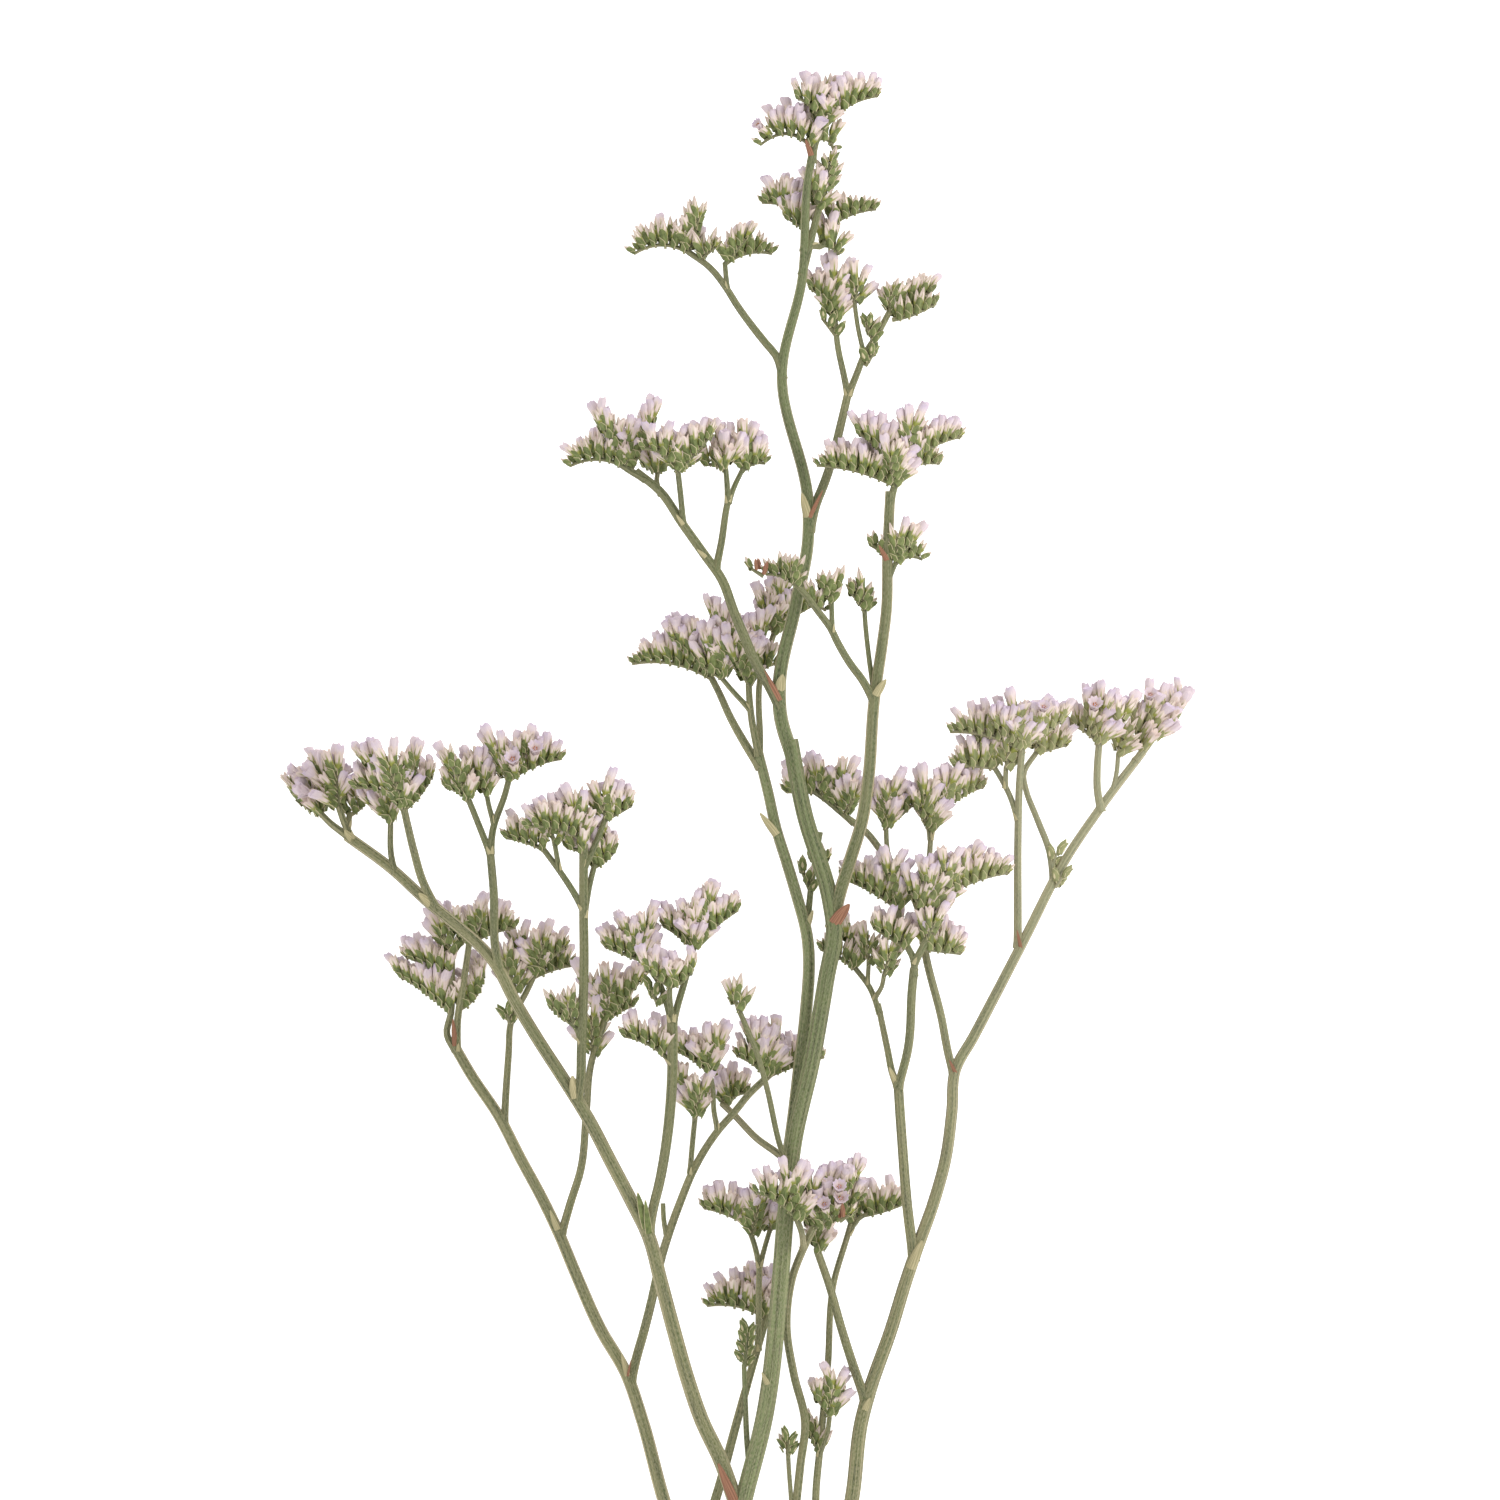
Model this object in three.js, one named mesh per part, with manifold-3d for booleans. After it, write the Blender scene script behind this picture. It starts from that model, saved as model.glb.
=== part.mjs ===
// A cut spray of dried statice that lies on its back with its flowers up.
// Millimetres: x runs across the spray, y along it towards its top, z up from the surface it lies on.
// Branches are bent, tapered tubes. A spray is a node of twigs and one-sided flower spikes, fused.
import * as THREE from "three";
import { mergeVertices } from "three/addons/utils/BufferGeometryUtils.js";
import Module from "manifold-3d";

const wasm = await Module();
wasm.setup();

// Clear space between each twig or branch and the one that carries it.
const GAP = 0.3;

// Stems: the number of sides of branches and of thin twigs.
const BRANCH_SIDES = 5;
const TWIG_SIDES = 3;
const TWIG_RADIUS = 1.3;

// Scale bracts at the joints: radius at the foot, and the number of sides.
const SCALE_RADIUS = 0.75;
const SCALE_SIDES = 3;

// Spikes: radius of the axis at its foot, along it and at the bud, where its florets and its bud start
// along it, and the spacing of its pairs of florets.
const FOOT_RADIUS = 0.3;
const AXIS_RADIUS = 0.55;
const BUD_RADIUS = 0.95;
const FLORET_START = 0.42;
const BUD_START = 0.9;
const PAIR_SPACING = 6.6;
const MOST_PAIRS = 2;

// Florets: size at the foot of the spike, the share they lose at its tip, and the lobes of the rim.
const FLORET_LENGTH = 7.2;
const FLORET_WIDTH = 2.8;
const FLORET_SHRINK = 0.45;
const FULL_UNTIL = 0.5;
const LOBE = 0.45;

// Floret directions: lean outwards across the spray, tilt to the viewer, and the shares of each pull.
const LEAN_PER_MM = 0.003;
const FACE_UP = 0.3;
const OUTWARD = 0.55;
const UPWARD = 0.6;
const FAN = 0.9;
const ROW_ANGLE = THREE.MathUtils.degToRad(30);
const UPRIGHT_ROW_ANGLE = THREE.MathUtils.degToRad(40);

// Florets differ in size by up to this share, in a wave that turns by so many radians at each one.
const UNEVEN = 0.08;
const UNEVEN_STEP = 2.4;

// The space under the surface, which no part may enter.
const UNDER_WIDTH = 600;
const UNDER_LENGTH = 800;
const UNDER_DEPTH = 100;

const SKYWARD = new THREE.Vector3(0, 0, 1);

const stemMaterial = new THREE.MeshStandardMaterial({ color: 0x74814f, roughness: 0.75, metalness: 0 });
const floretMaterial = new THREE.MeshStandardMaterial({ color: 0xcdc2c6, roughness: 0.8, metalness: 0 });

const spray = new THREE.Group();
const cleared = {};

// A closed geometry as a solid.
function solid(geometry) {
  geometry.deleteAttribute("normal");
  geometry.deleteAttribute("uv");
  const merged = mergeVertices(geometry);
  const vertProperties = new Float32Array(merged.attributes.position.array);
  const triVerts = new Uint32Array(merged.index.array);
  return new wasm.Manifold(new wasm.Mesh({ numProp: 3, vertProperties, triVerts }));
}

// A smooth route through points [x, y, z]. A point without z lies on the slope between its neighbours.
function route(points) {
  const along = [0];
  for (let i = 1; i < points.length; i += 1) {
    const [x0, y0] = points[i - 1];
    const [x1, y1] = points[i];
    along.push(along[i - 1] + Math.hypot(x1 - x0, y1 - y0));
  }
  const spots = points.map(([x, y, z], i) => {
    if (z !== undefined) return new THREE.Vector3(x, y, z);
    let below = i;
    while (points[below][2] === undefined) below -= 1;
    let above = i;
    while (points[above][2] === undefined) above += 1;
    const share = (along[i] - along[below]) / (along[above] - along[below]);
    return new THREE.Vector3(x, y, THREE.MathUtils.lerp(points[below][2], points[above][2], share));
  });
  return new THREE.CatmullRomCurve3(spots, false, "centripetal");
}

// Place and directions on a curve at share t of its points: the normal leans to up.
function frameAt(curve, t, up) {
  const tangent = curve.getTangent(t);
  const normal = up.clone().addScaledVector(tangent, -up.dot(tangent)).normalize();
  return { t, centre: curve.getPoint(t), tangent, normal, binormal: tangent.clone().cross(normal) };
}

// A tapered tube: a closed cylinder with a ring at each point of its path, grown by extra all round.
function tube({ path, root, tip }, extra = 0) {
  const curve = route(path);
  const steps = path.length - 1;
  const frames = path.map((point, i) => frameAt(curve, i / steps, SKYWARD));
  frames[0].centre.addScaledVector(frames[0].tangent, -extra);
  frames[steps].centre.addScaledVector(frames[steps].tangent, extra);
  const sides = root > TWIG_RADIUS ? BRANCH_SIDES : TWIG_SIDES;
  const geometry = new THREE.CylinderGeometry(tip + extra, root + extra, 1, sides, steps);
  const { position } = geometry.attributes;
  for (let i = 0; i < position.count; i += 1) {
    const { centre, normal, binormal } = frames[Math.round((position.getY(i) + 0.5) * steps)];
    const place = centre.clone();
    place.addScaledVector(normal, position.getX(i));
    place.addScaledVector(binormal, -position.getZ(i));
    position.setXYZ(i, place.x, place.y, place.z);
  }
  return solid(geometry);
}

// A small pointed bract from its foot inside a stem to its free tip.
function scale([foot, point]) {
  const start = new THREE.Vector3(...foot);
  const reach = new THREE.Vector3(...point).sub(start);
  const geometry = new THREE.ConeGeometry(SCALE_RADIUS, reach.length(), SCALE_SIDES);
  geometry.translate(0, reach.length() / 2, 0);
  geometry.applyQuaternion(
    new THREE.Quaternion().setFromUnitVectors(new THREE.Vector3(0, 1, 0), reach.clone().normalize()),
  );
  geometry.translate(start.x, start.y, start.z);
  return solid(geometry);
}

// Direction of one floret of a pair: off the spike's convex side, upwards, and more to its tip further out.
function floretDirection({ t, tangent, normal, binormal }, growth, sign) {
  const late = (t - FLORET_START) / (BUD_START - FLORET_START);
  const row = ROW_ANGLE + UPRIGHT_ROW_ANGLE * Math.abs(tangent.dot(growth));
  return new THREE.Vector3()
    .addScaledVector(normal, Math.cos(row) * OUTWARD)
    .addScaledVector(binormal, Math.sin(row) * OUTWARD * sign)
    .addScaledVector(growth, UPWARD)
    .addScaledVector(tangent, FAN * late * late)
    .normalize();
}

// A flower spike: a three-sided axis with a pair of flared florets raised from its two upper faces at
// each step, and a pointed bud at its tip. It arches by bend times its length to its upper side.
function spike([from, to, bend = 0.1]) {
  const start = new THREE.Vector3(...from);
  const end = new THREE.Vector3(...to);
  const chord = end.clone().sub(start);
  const length = chord.length();
  const side = new THREE.Vector3(-chord.y, chord.x, 0).normalize();
  if (side.y < 0) side.negate();
  const middle = start.clone().lerp(end, 0.5).addScaledVector(side, bend * length);
  const axis = new THREE.QuadraticBezierCurve3(start, middle, end);
  const growth = new THREE.Vector3(start.x * LEAN_PER_MM, 1, 0).normalize();
  const up = growth.clone().addScaledVector(SKYWARD, FACE_UP);
  const pairs = THREE.MathUtils.clamp(Math.round(length / PAIR_SPACING), 1, MOST_PAIRS);

  const points = [];
  const faces = [];
  const frames = [];
  const stations = [0];
  for (let k = 0; k <= pairs; k += 1) stations.push(FLORET_START + ((BUD_START - FLORET_START) * k) / pairs);
  const radii = stations.map(() => AXIS_RADIUS);
  radii[0] = FOOT_RADIUS;
  radii[pairs + 1] = BUD_RADIUS;
  stations.forEach((t, k) => {
    const frame = frameAt(axis, t, up);
    frames.push(frame);
    for (let corner = 0; corner < 3; corner += 1) {
      const angle = (corner * 2 * Math.PI) / 3;
      const point = frame.centre.clone();
      point.addScaledVector(frame.normal, Math.cos(angle) * radii[k]);
      point.addScaledVector(frame.binormal, Math.sin(angle) * radii[k]);
      points.push(point);
    }
  });
  const quad = (a, b, c, d) => faces.push(a, b, c, a, c, d);

  const raiseFloret = (foot, frame, sign, index) => {
    const late = Math.max(0, (frame.t - FULL_UNTIL) / (1 - FULL_UNTIL));
    const size = 1 - FLORET_SHRINK * late + UNEVEN * Math.sin(index * UNEVEN_STEP);
    const ahead = floretDirection(frame, growth, sign);
    const along = frame.tangent.clone().addScaledVector(ahead, -ahead.dot(frame.tangent)).normalize();
    const across = along.clone().cross(ahead);
    const centre = new THREE.Vector3();
    foot.forEach((corner) => centre.addScaledVector(points[corner], 1 / foot.length));
    centre.addScaledVector(ahead, FLORET_LENGTH * size);
    const half = (FLORET_WIDTH * size) / 2;
    const rim = [[-1, -1], [1, -1], [0, 1]].map(([a, b]) => {
      const point = centre.clone();
      point.addScaledVector(across, a * half);
      point.addScaledVector(along, b * half);
      point.addScaledVector(ahead, b * LOBE);
      return points.push(point) - 1;
    });
    quad(foot[0], foot[1], rim[1], rim[0]);
    quad(foot[1], foot[2], rim[2], rim[1]);
    quad(foot[3], foot[0], rim[0], rim[2]);
    faces.push(foot[2], foot[3], rim[2], ...rim);
  };

  faces.push(0, 2, 1);
  for (let k = 0; k < stations.length - 1; k += 1) {
    for (let corner = 0; corner < 3; corner += 1) {
      const next = (corner + 1) % 3;
      const foot = [3 * k + corner, 3 * k + next, 3 * k + 3 + next, 3 * k + 3 + corner];
      const bare = k === 0 || corner === 1;
      if (bare) quad(...foot);
      else raiseFloret(foot, frames[k + 1], corner === 0 ? 1 : -1, 2 * k + corner);
    }
  }
  const apex = points.push(end) - 1;
  const last = 3 * (stations.length - 1);
  for (let corner = 0; corner < 3; corner += 1) faces.push(last + corner, last + ((corner + 1) % 3), apex);

  const geometry = new THREE.BufferGeometry().setFromPoints(points);
  geometry.setIndex(faces);
  return solid(geometry);
}

const underSurface = solid(
  new THREE.BoxGeometry(UNDER_WIDTH, UNDER_LENGTH, UNDER_DEPTH).translate(0, 0, -UNDER_DEPTH / 2),
);

// Adds a named node: its solids fused, cut clear of the branches that it grows from or passes.
function addNode(name, material, solids, clearOf) {
  let body = wasm.Manifold.union(solids).subtract(underSurface);
  clearOf.forEach((other) => {
    body = body.subtract(cleared[other]);
  });
  const [largest] = body.decompose().sort((a, b) => b.volume() - a.volume());
  const { vertProperties, triVerts } = largest.getMesh();
  const geometry = new THREE.BufferGeometry();
  geometry.setAttribute("position", new THREE.BufferAttribute(vertProperties, 3));
  geometry.setIndex(new THREE.BufferAttribute(triVerts, 1));
  geometry.computeVertexNormals();
  const mesh = new THREE.Mesh(geometry, material);
  mesh.name = name;
  spray.add(mesh);
}

function addBranch(name, clearOf, { stems, scales = [], spikes = [] }) {
  cleared[name] = wasm.Manifold.union(stems.map((stem) => tube(stem, GAP)));
  const solids = [...stems.map((stem) => tube(stem)), ...scales.map(scale), ...spikes.map(spike)];
  addNode(name, stemMaterial, solids, clearOf);
}

function addSpray(name, clearOf, { twigs, spikes }) {
  addNode(name, floretMaterial, [...twigs.map((twig) => tube(twig)), ...spikes.map(spike)], clearOf);
}

// Main stem, from the cut end to the top, with a bud twig low on its left.
addBranch("main_stem", [], {
  stems: [
    {
      root: 2.3,
      tip: 2.0,
      path: [
        [-8, -95, 2], [-8, -50, 10.5], [-6, -20], [-1.5, 0, 22], [3.5, 20], [7.2, 50, 30], [8.8, 70],
        [11, 90, 35], [15.5, 110], [19, 130], [21, 143, 39.7], [20, 150, 40.2], [13.5, 172], [10, 190, 41.5],
      ],
    },
    {
      root: 1.75,
      tip: 1.25,
      path: [
        [11.2, 184, 41.2], [7.5, 197, 41.7], [7.3, 203, 42], [11.5, 224], [14.5, 240, 42], [14.5, 249, 42],
        [8, 282, 42], [13, 305, 43.5], [14.5, 330], [15.5, 336, 46],
      ],
    },
    { root: 0.8, tip: 0.6, path: [[0.3, 4, 22.5], [-0.8, 15, 19.5], [-1.2, 25, 18.5], [-1.5, 33.5, 18.5]] },
  ],
  scales: [
    [[21, 144, 41], [24, 148.5, 43]], [[7.4, 197, 43], [8.6, 204.5, 45]],
    [[13.8, 245, 42], [11.9, 249.3, 43]], [[15.6, 243.5, 43], [20.5, 252, 45]],
    [[14.6, 336, 46.4], [12.8, 340, 47]], [[3.5, 30, 27], [1, 34, 27.5]],
  ],
  spikes: [[[-1.5, 32.5, 18.5], [-0.7, 42, 19], 0]],
});

// Left branch: leaves the main stem low down, crosses it to the left and ends at the left edge.
addBranch("branch_left", ["main_stem"], {
  stems: [
    {
      root: 1.85,
      tip: 1.25,
      path: [
        [-2.6, -4, 21], [-7.3, 9.5, 24], [-12.2, 20], [-15.6, 30], [-19.1, 42.5, 31.5], [-22.4, 55],
        [-25.2, 65.5, 34], [-29.8, 75], [-35, 85], [-40.2, 95, 37.5], [-46.4, 105, 38], [-53.2, 115.5],
        [-58.6, 124.5], [-64, 134.5, 36], [-75, 145, 32], [-80, 149, 30], [-90, 158], [-101, 166, 22],
      ],
    },
  ],
  scales: [
    [[-44.7, 102, 38.3], [-48, 106, 39.5]], [[-81, 150, 30.5], [-83.8, 147, 31]],
    [[-27.6, 71, 34.3], [-29.8, 76.5, 35.6]], [[-100, 165.5, 22.5], [-102, 168, 24]],
  ],
});

// Far left branch: runs low, under the left branch, and rests lowest of the large branches.
addBranch("branch_far_left", ["main_stem", "branch_left"], {
  stems: [
    {
      root: 1.75,
      tip: 1.3,
      path: [
        [-8, -52, 10.2], [-9, -45, 12.3], [-14.6, -22, 14], [-21.8, 0], [-27.2, 20, 15.8], [-31, 31, 16],
        [-37.6, 42.5], [-43.2, 55], [-47.8, 66, 16], [-52.1, 75], [-57.5, 85], [-63.2, 96, 15],
        [-69.6, 105.5], [-74.3, 113.5, 14],
      ],
    },
  ],
  scales: [[[-49, 68.5, 16.5], [-51, 73.2, 18.5]], [[-71.3, 108.3, 15], [-68.9, 111.6, 16.8]]],
});

// Right branch: leaves the main stem lowest and ends at the right edge.
addBranch("branch_right", ["main_stem"], {
  stems: [
    {
      root: 2.1,
      tip: 1,
      path: [
        [-8, -80, 5], [0, -66, 8], [12.5, -44, 13], [20, -24], [25.6, 0, 17], [28.1, 20], [30, 27, 20],
        [35.4, 42.5], [39.2, 55], [41.4, 61.5, 26], [46.2, 75], [48.9, 85], [50.5, 97, 30],
        [51.4, 107.5, 30], [55.8, 115.5], [60.8, 125], [68.6, 140, 28], [79, 160, 24], [88.2, 173.5, 20],
        [98.5, 187, 14],
      ],
    },
  ],
  scales: [
    [[50.6, 104, 30.6], [48.2, 107.5, 32.4]], [[40, 57, 25.4], [37.6, 60.4, 27]],
    [[28.6, 21, 19.2], [31.4, 24.6, 21]],
  ],
});

// Right inner branch: forks off the right branch and splits in two below its flowers.
addBranch("branch_right_inner", ["branch_right"], {
  stems: [
    {
      root: 1.4,
      tip: 1.3,
      path: [
        [41, 59.5, 26], [40.5, 64, 27], [39.5, 72], [38, 90, 33.5], [37.3, 100], [37, 105, 36],
      ],
    },
    { root: 0.9, tip: 0.75, path: [[37, 103, 36], [35.5, 107, 35], [34.5, 112], [32, 124, 32]] },
    { root: 1.1, tip: 1.1, path: [[37, 103, 36], [39.5, 113], [40.5, 128], [41, 133, 41.8]] },
  ],
  scales: [[[36.5, 104, 36.5], [34.8, 108, 38]]],
});

// Right middle branch: forks off the right branch and leans back behind the upper right branch.
addBranch("branch_right_middle", ["branch_right", "branch_right_inner"], {
  stems: [
    {
      root: 1.05,
      tip: 0.85,
      path: [
        [51, 106, 30], [49.5, 112, 30], [48, 120], [44, 136, 29], [43, 142], [42, 148, 29], [37, 157, 29],
        [33, 162], [29, 167, 30], [25, 170, 31],
      ],
    },
  ],
});

// Middle branch: a long side branch that runs beside and behind the main stem and emerges on its left.
addBranch("branch_middle", ["main_stem"], {
  stems: [
    {
      root: 1.65,
      tip: 1.25,
      path: [
        [9.7, 86, 34], [11, 96, 31.4], [12.6, 110, 31.2], [13.8, 120], [14.1, 142, 34.7], [11.7, 151],
        [9.3, 159, 36.8], [6.5, 168, 37], [4.5, 177], [2, 187, 35],
      ],
    },
    {
      root: 0.85,
      tip: 0.65,
      path: [
        [14.2, 142, 35], [15.5, 155, 32.5], [16.5, 161, 31.5], [17.6, 167, 31.5],
      ],
    },
  ],
  scales: [[[14.8, 143, 35.3], [16.3, 147, 37]], [[7, 167, 37.5], [2.7, 172.4, 38]]],
  spikes: [[[15.1, 152, 33], [12, 158.3, 32.5], 0], [[16, 158, 32], [20, 159, 31], 0]],
});

// Upper left branch: crosses over the middle branch's flowers.
addBranch("branch_upper_left", ["main_stem"], {
  stems: [
    {
      root: 1.3,
      tip: 1.05,
      path: [
        [7.6, 198, 42], [4.5, 204, 43], [1.5, 209, 45], [-1.5, 216, 47], [-4, 222], [-7, 230, 49],
        [-11.2, 236, 50], [-16.9, 244, 50], [-22.4, 252, 50], [-28.5, 257, 49],
      ],
    },
  ],
  scales: [[[-17.9, 244.6, 50.5], [-20.5, 247.4, 52]], [[-11.4, 236.3, 50.3], [-14.7, 238, 51.8]]],
});

// Upper right branch: rises in front of the right middle branch.
addBranch("branch_upper_right", ["main_stem"], {
  stems: [
    {
      root: 1.6,
      tip: 1.25,
      path: [
        [20.6, 143, 39.7], [22, 150, 41], [25, 160, 43], [28, 170, 45], [29.5, 180], [31, 200, 48],
        [33, 214], [34, 222, 50], [34.3, 237], [35, 252, 52],
      ],
    },
  ],
  scales: [[[33.7, 236, 50.8], [31.5, 239, 53]], [[31.2, 201, 48.5], [34, 205, 50.3]]],
  spikes: [[[34.2, 234.5, 50.5], [30, 238.6, 50], 0.2]],
});

// Top spray, on the tip of the main stem.
addSpray("spray_top", ["main_stem"], {
  twigs: [{ root: 1.05, tip: 0.8, path: [[15.4, 334, 45.7], [16.3, 339, 46], [18.6, 343.5, 46.5]] }],
  spikes: [
    [[15.9, 337.3, 46], [2.5, 338.5, 43], 0.5],
    [[18, 342.5, 46.4], [11.5, 350.3, 48], 0.3],
    [[18.4, 343, 46.5], [18.2, 350.5, 45], 0],
    [[18.6, 343.3, 46.5], [32, 350.8, 44], 0.2],
    [[16.8, 340, 46], [22, 337, 42], 0.4],
  ],
});

// Spray behind the main stem, under the top one.
addSpray("spray_top_back", ["main_stem"], {
  twigs: [{ root: 0.75, tip: 0.65, path: [[13.2, 312, 44], [13.6, 318, 40.5], [13.9, 323, 40]] }],
  spikes: [[[13.7, 317.5, 40.5], [8.8, 320.5, 38]], [[13.9, 322.7, 40], [3, 325.8, 37]]],
});

// Spray on the right, under the top one.
addSpray("spray_top_right", ["main_stem"], {
  twigs: [
    { root: 1, tip: 0.85, path: [[13, 306, 43.5], [14.8, 313, 44], [16.5, 320], [18.5, 327, 44]] },
    { root: 0.75, tip: 0.65, path: [[15, 313.5, 44], [18.3, 313.5, 41], [19.8, 317, 40], [20.3, 319.6, 40]] },
  ],
  spikes: [
    [[18.4, 326.5, 44], [19.8, 334, 45], 0],
    [[20.2, 319.3, 40], [31.5, 323.8, 39], 0.15],
    [[18.3, 313.6, 41], [22.3, 311.5, 39], 0.2],
  ],
});

// Crown spray on the left, with two arched heads.
addSpray("spray_crown_left", ["main_stem"], {
  twigs: [
    {
      root: 1.05,
      tip: 0.75,
      path: [
        [8.3, 280, 42], [6.5, 286, 42], [4, 289], [-3.5, 299], [-6, 303, 40], [-10, 308], [-15.5, 312, 38],
      ],
    },
    { root: 0.65, tip: 0.6, path: [[-5.7, 302.5, 40], [-6.3, 309.3, 39]] },
  ],
  spikes: [
    [[-15.3, 311.8, 38], [-29, 311.5, 35], 0.3],
    [[-15.4, 311.9, 38], [-13, 320.5, 39], 0],
    [[-12.5, 310.2, 38.8], [-9, 312.8, 42], 0],
    [[-6.3, 308.8, 39], [5.5, 311.5, 37], 0.25],
    [[-6.3, 308.9, 39], [-3, 314, 41], 0],
  ],
});

// Crown spray on the right.
addSpray("spray_crown_right", ["main_stem"], {
  twigs: [
    {
      root: 1.25,
      tip: 1,
      path: [
        [14.8, 242, 42], [16.5, 249, 41.3], [18.5, 254, 40], [20.5, 260, 38], [22.5, 268, 37],
        [24.7, 277.5, 36],
      ],
    },
    { root: 0.85, tip: 0.7, path: [[24.5, 276, 36], [23.5, 281], [22, 288], [21.2, 295.3, 36]] },
    { root: 0.9, tip: 0.75, path: [[24.5, 276, 36], [26.5, 281], [29, 287], [31, 290], [35, 297.3, 35]] },
    { root: 0.6, tip: 0.55, path: [[28.6, 286, 35.6], [27, 293], [26, 300.3, 36]] },
  ],
  spikes: [
    [[21.2, 294.8, 36], [15, 303, 35], 0.2],
    [[21.2, 294.8, 36], [21.3, 304.5, 37], 0],
    [[26, 299.8, 36], [27.3, 305, 36], 0],
    [[35, 296.8, 35], [46, 299.5, 33], 0.2],
    [[35, 296.8, 35], [35.5, 302, 37], 0],
  ],
});

// Upper left sprays: the wide one at the branch's tip, two on short twigs, and a forked one.
addSpray("spray_upper_left_end", ["branch_upper_left"], {
  twigs: [{ root: 0.95, tip: 0.75, path: [[-26, 255, 49.5], [-30.5, 257.5, 49], [-32.7, 259, 49]] }],
  spikes: [
    [[-31.7, 258.4, 49], [-45, 258.3, 46], 0.25],
    [[-32, 258.7, 49], [-36.5, 266, 51]],
    [[-29.7, 257.2, 49], [-25.7, 268, 47], 0],
  ],
});
addSpray("spray_upper_left_middle", ["branch_upper_left"], {
  twigs: [{ root: 0.75, tip: 0.7, path: [[-16.6, 243.7, 50], [-17.3, 251, 53], [-18, 257.3, 56]] }],
  spikes: [
    [[-18, 256.8, 56], [-27, 262.5, 58], 0.35],
    [[-18, 256.8, 56], [-9.8, 265.7, 58], 0],
    [[-17.8, 257, 55.5], [-12.5, 260, 53], 0],
  ],
});
addSpray("spray_upper_left_small", ["branch_upper_left"], {
  twigs: [{ root: 0.65, tip: 0.6, path: [[-22.3, 251, 50], [-23.2, 254, 48.5], [-23, 257, 45]] }],
  spikes: [[[-23, 256.6, 45.3], [-27, 258.5, 41]], [[-23, 256.6, 45.3], [-20, 259, 41]]],
});
addSpray("spray_upper_left_fork", ["branch_upper_left"], {
  twigs: [
    { root: 0.95, tip: 0.8, path: [[-8.5, 232.5, 49.5], [-7, 240, 51], [-6, 247, 52], [-5.3, 250.5, 52]] },
    { root: 0.75, tip: 0.65, path: [[-5.5, 249, 52], [-5.8, 255, 52], [-6.1, 258, 52]] },
    { root: 0.7, tip: 0.6, path: [[-5.4, 249, 52], [-4, 253, 50], [-1.9, 257.4, 49]] },
  ],
  spikes: [
    [[-6.1, 257.5, 52], [-7.5, 265, 49]],
    [[-6.1, 257.4, 52], [-11.5, 258.5, 49], 0.2],
    [[-2, 256.9, 49], [-0.8, 264, 49], 0],
    [[-2, 256.9, 49], [3.8, 259, 47], 0.3],
  ],
});

// Upper right sprays: the wide one at the branch's tip, a low one, and two that hang to the left.
addSpray("spray_upper_right_end", ["branch_upper_right"], {
  twigs: [{ root: 0.95, tip: 0.75, path: [[35, 249.5, 52], [36.3, 254, 52], [38.7, 258.8, 52]] }],
  spikes: [
    [[38.4, 258.2, 52], [52.5, 265.6, 49], 0.15],
    [[38, 257.5, 52], [39.5, 266, 54], 0],
    [[38.2, 258, 51.8], [47.3, 259, 47], 0.1],
    [[36.1, 253.4, 52], [26.5, 266.8, 54], 0.25],
    [[36.1, 253.4, 52], [16.8, 257.2, 54], 0.12],
  ],
});
addSpray("spray_upper_right_low", ["branch_upper_right"], {
  twigs: [{ root: 0.7, tip: 0.6, path: [[34, 228.5, 50], [35.6, 232.5, 51], [36.5, 234.6, 51]] }],
  spikes: [
    [[36.3, 234, 51], [43, 235, 49], 0.35],
    [[36.3, 234, 51], [40, 240.5, 52]],
    [[36.3, 234, 51], [36.8, 239.5, 53], 0],
  ],
});
addSpray("spray_hanging", ["branch_upper_right"], {
  twigs: [
    {
      root: 1.05,
      tip: 0.8,
      path: [
        [31, 199.5, 48], [28, 205, 50], [25, 209], [22, 214, 53], [20, 218, 54], [17, 222], [14, 226, 56],
        [11, 229.2, 56],
      ],
    },
    { root: 0.65, tip: 0.6, path: [[20.5, 216.8, 54], [20.3, 225.2, 54]] },
  ],
  spikes: [
    [[11.3, 228.9, 56], [3.5, 231.5, 54], 0.2],
    [[11.3, 228.8, 56], [10.5, 234, 58], 0],
    [[20.2, 224.4, 54], [17.8, 228.5, 54.5], 0],
    [[20.3, 224.7, 54], [22.3, 228.3, 53], 0],
  ],
});
addSpray("spray_hanging_back", ["branch_upper_right", "main_stem"], {
  twigs: [
    {
      root: 0.65,
      tip: 0.6,
      path: [
        [30.9, 202, 48.2], [29.5, 212, 47.5], [28.7, 220], [28.5, 223.2, 48],
      ],
    },
  ],
  spikes: [[[28.5, 222.8, 48], [25, 227, 49], 0], [[28.5, 222.8, 48], [29.3, 228, 49], 0]],
});

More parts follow.
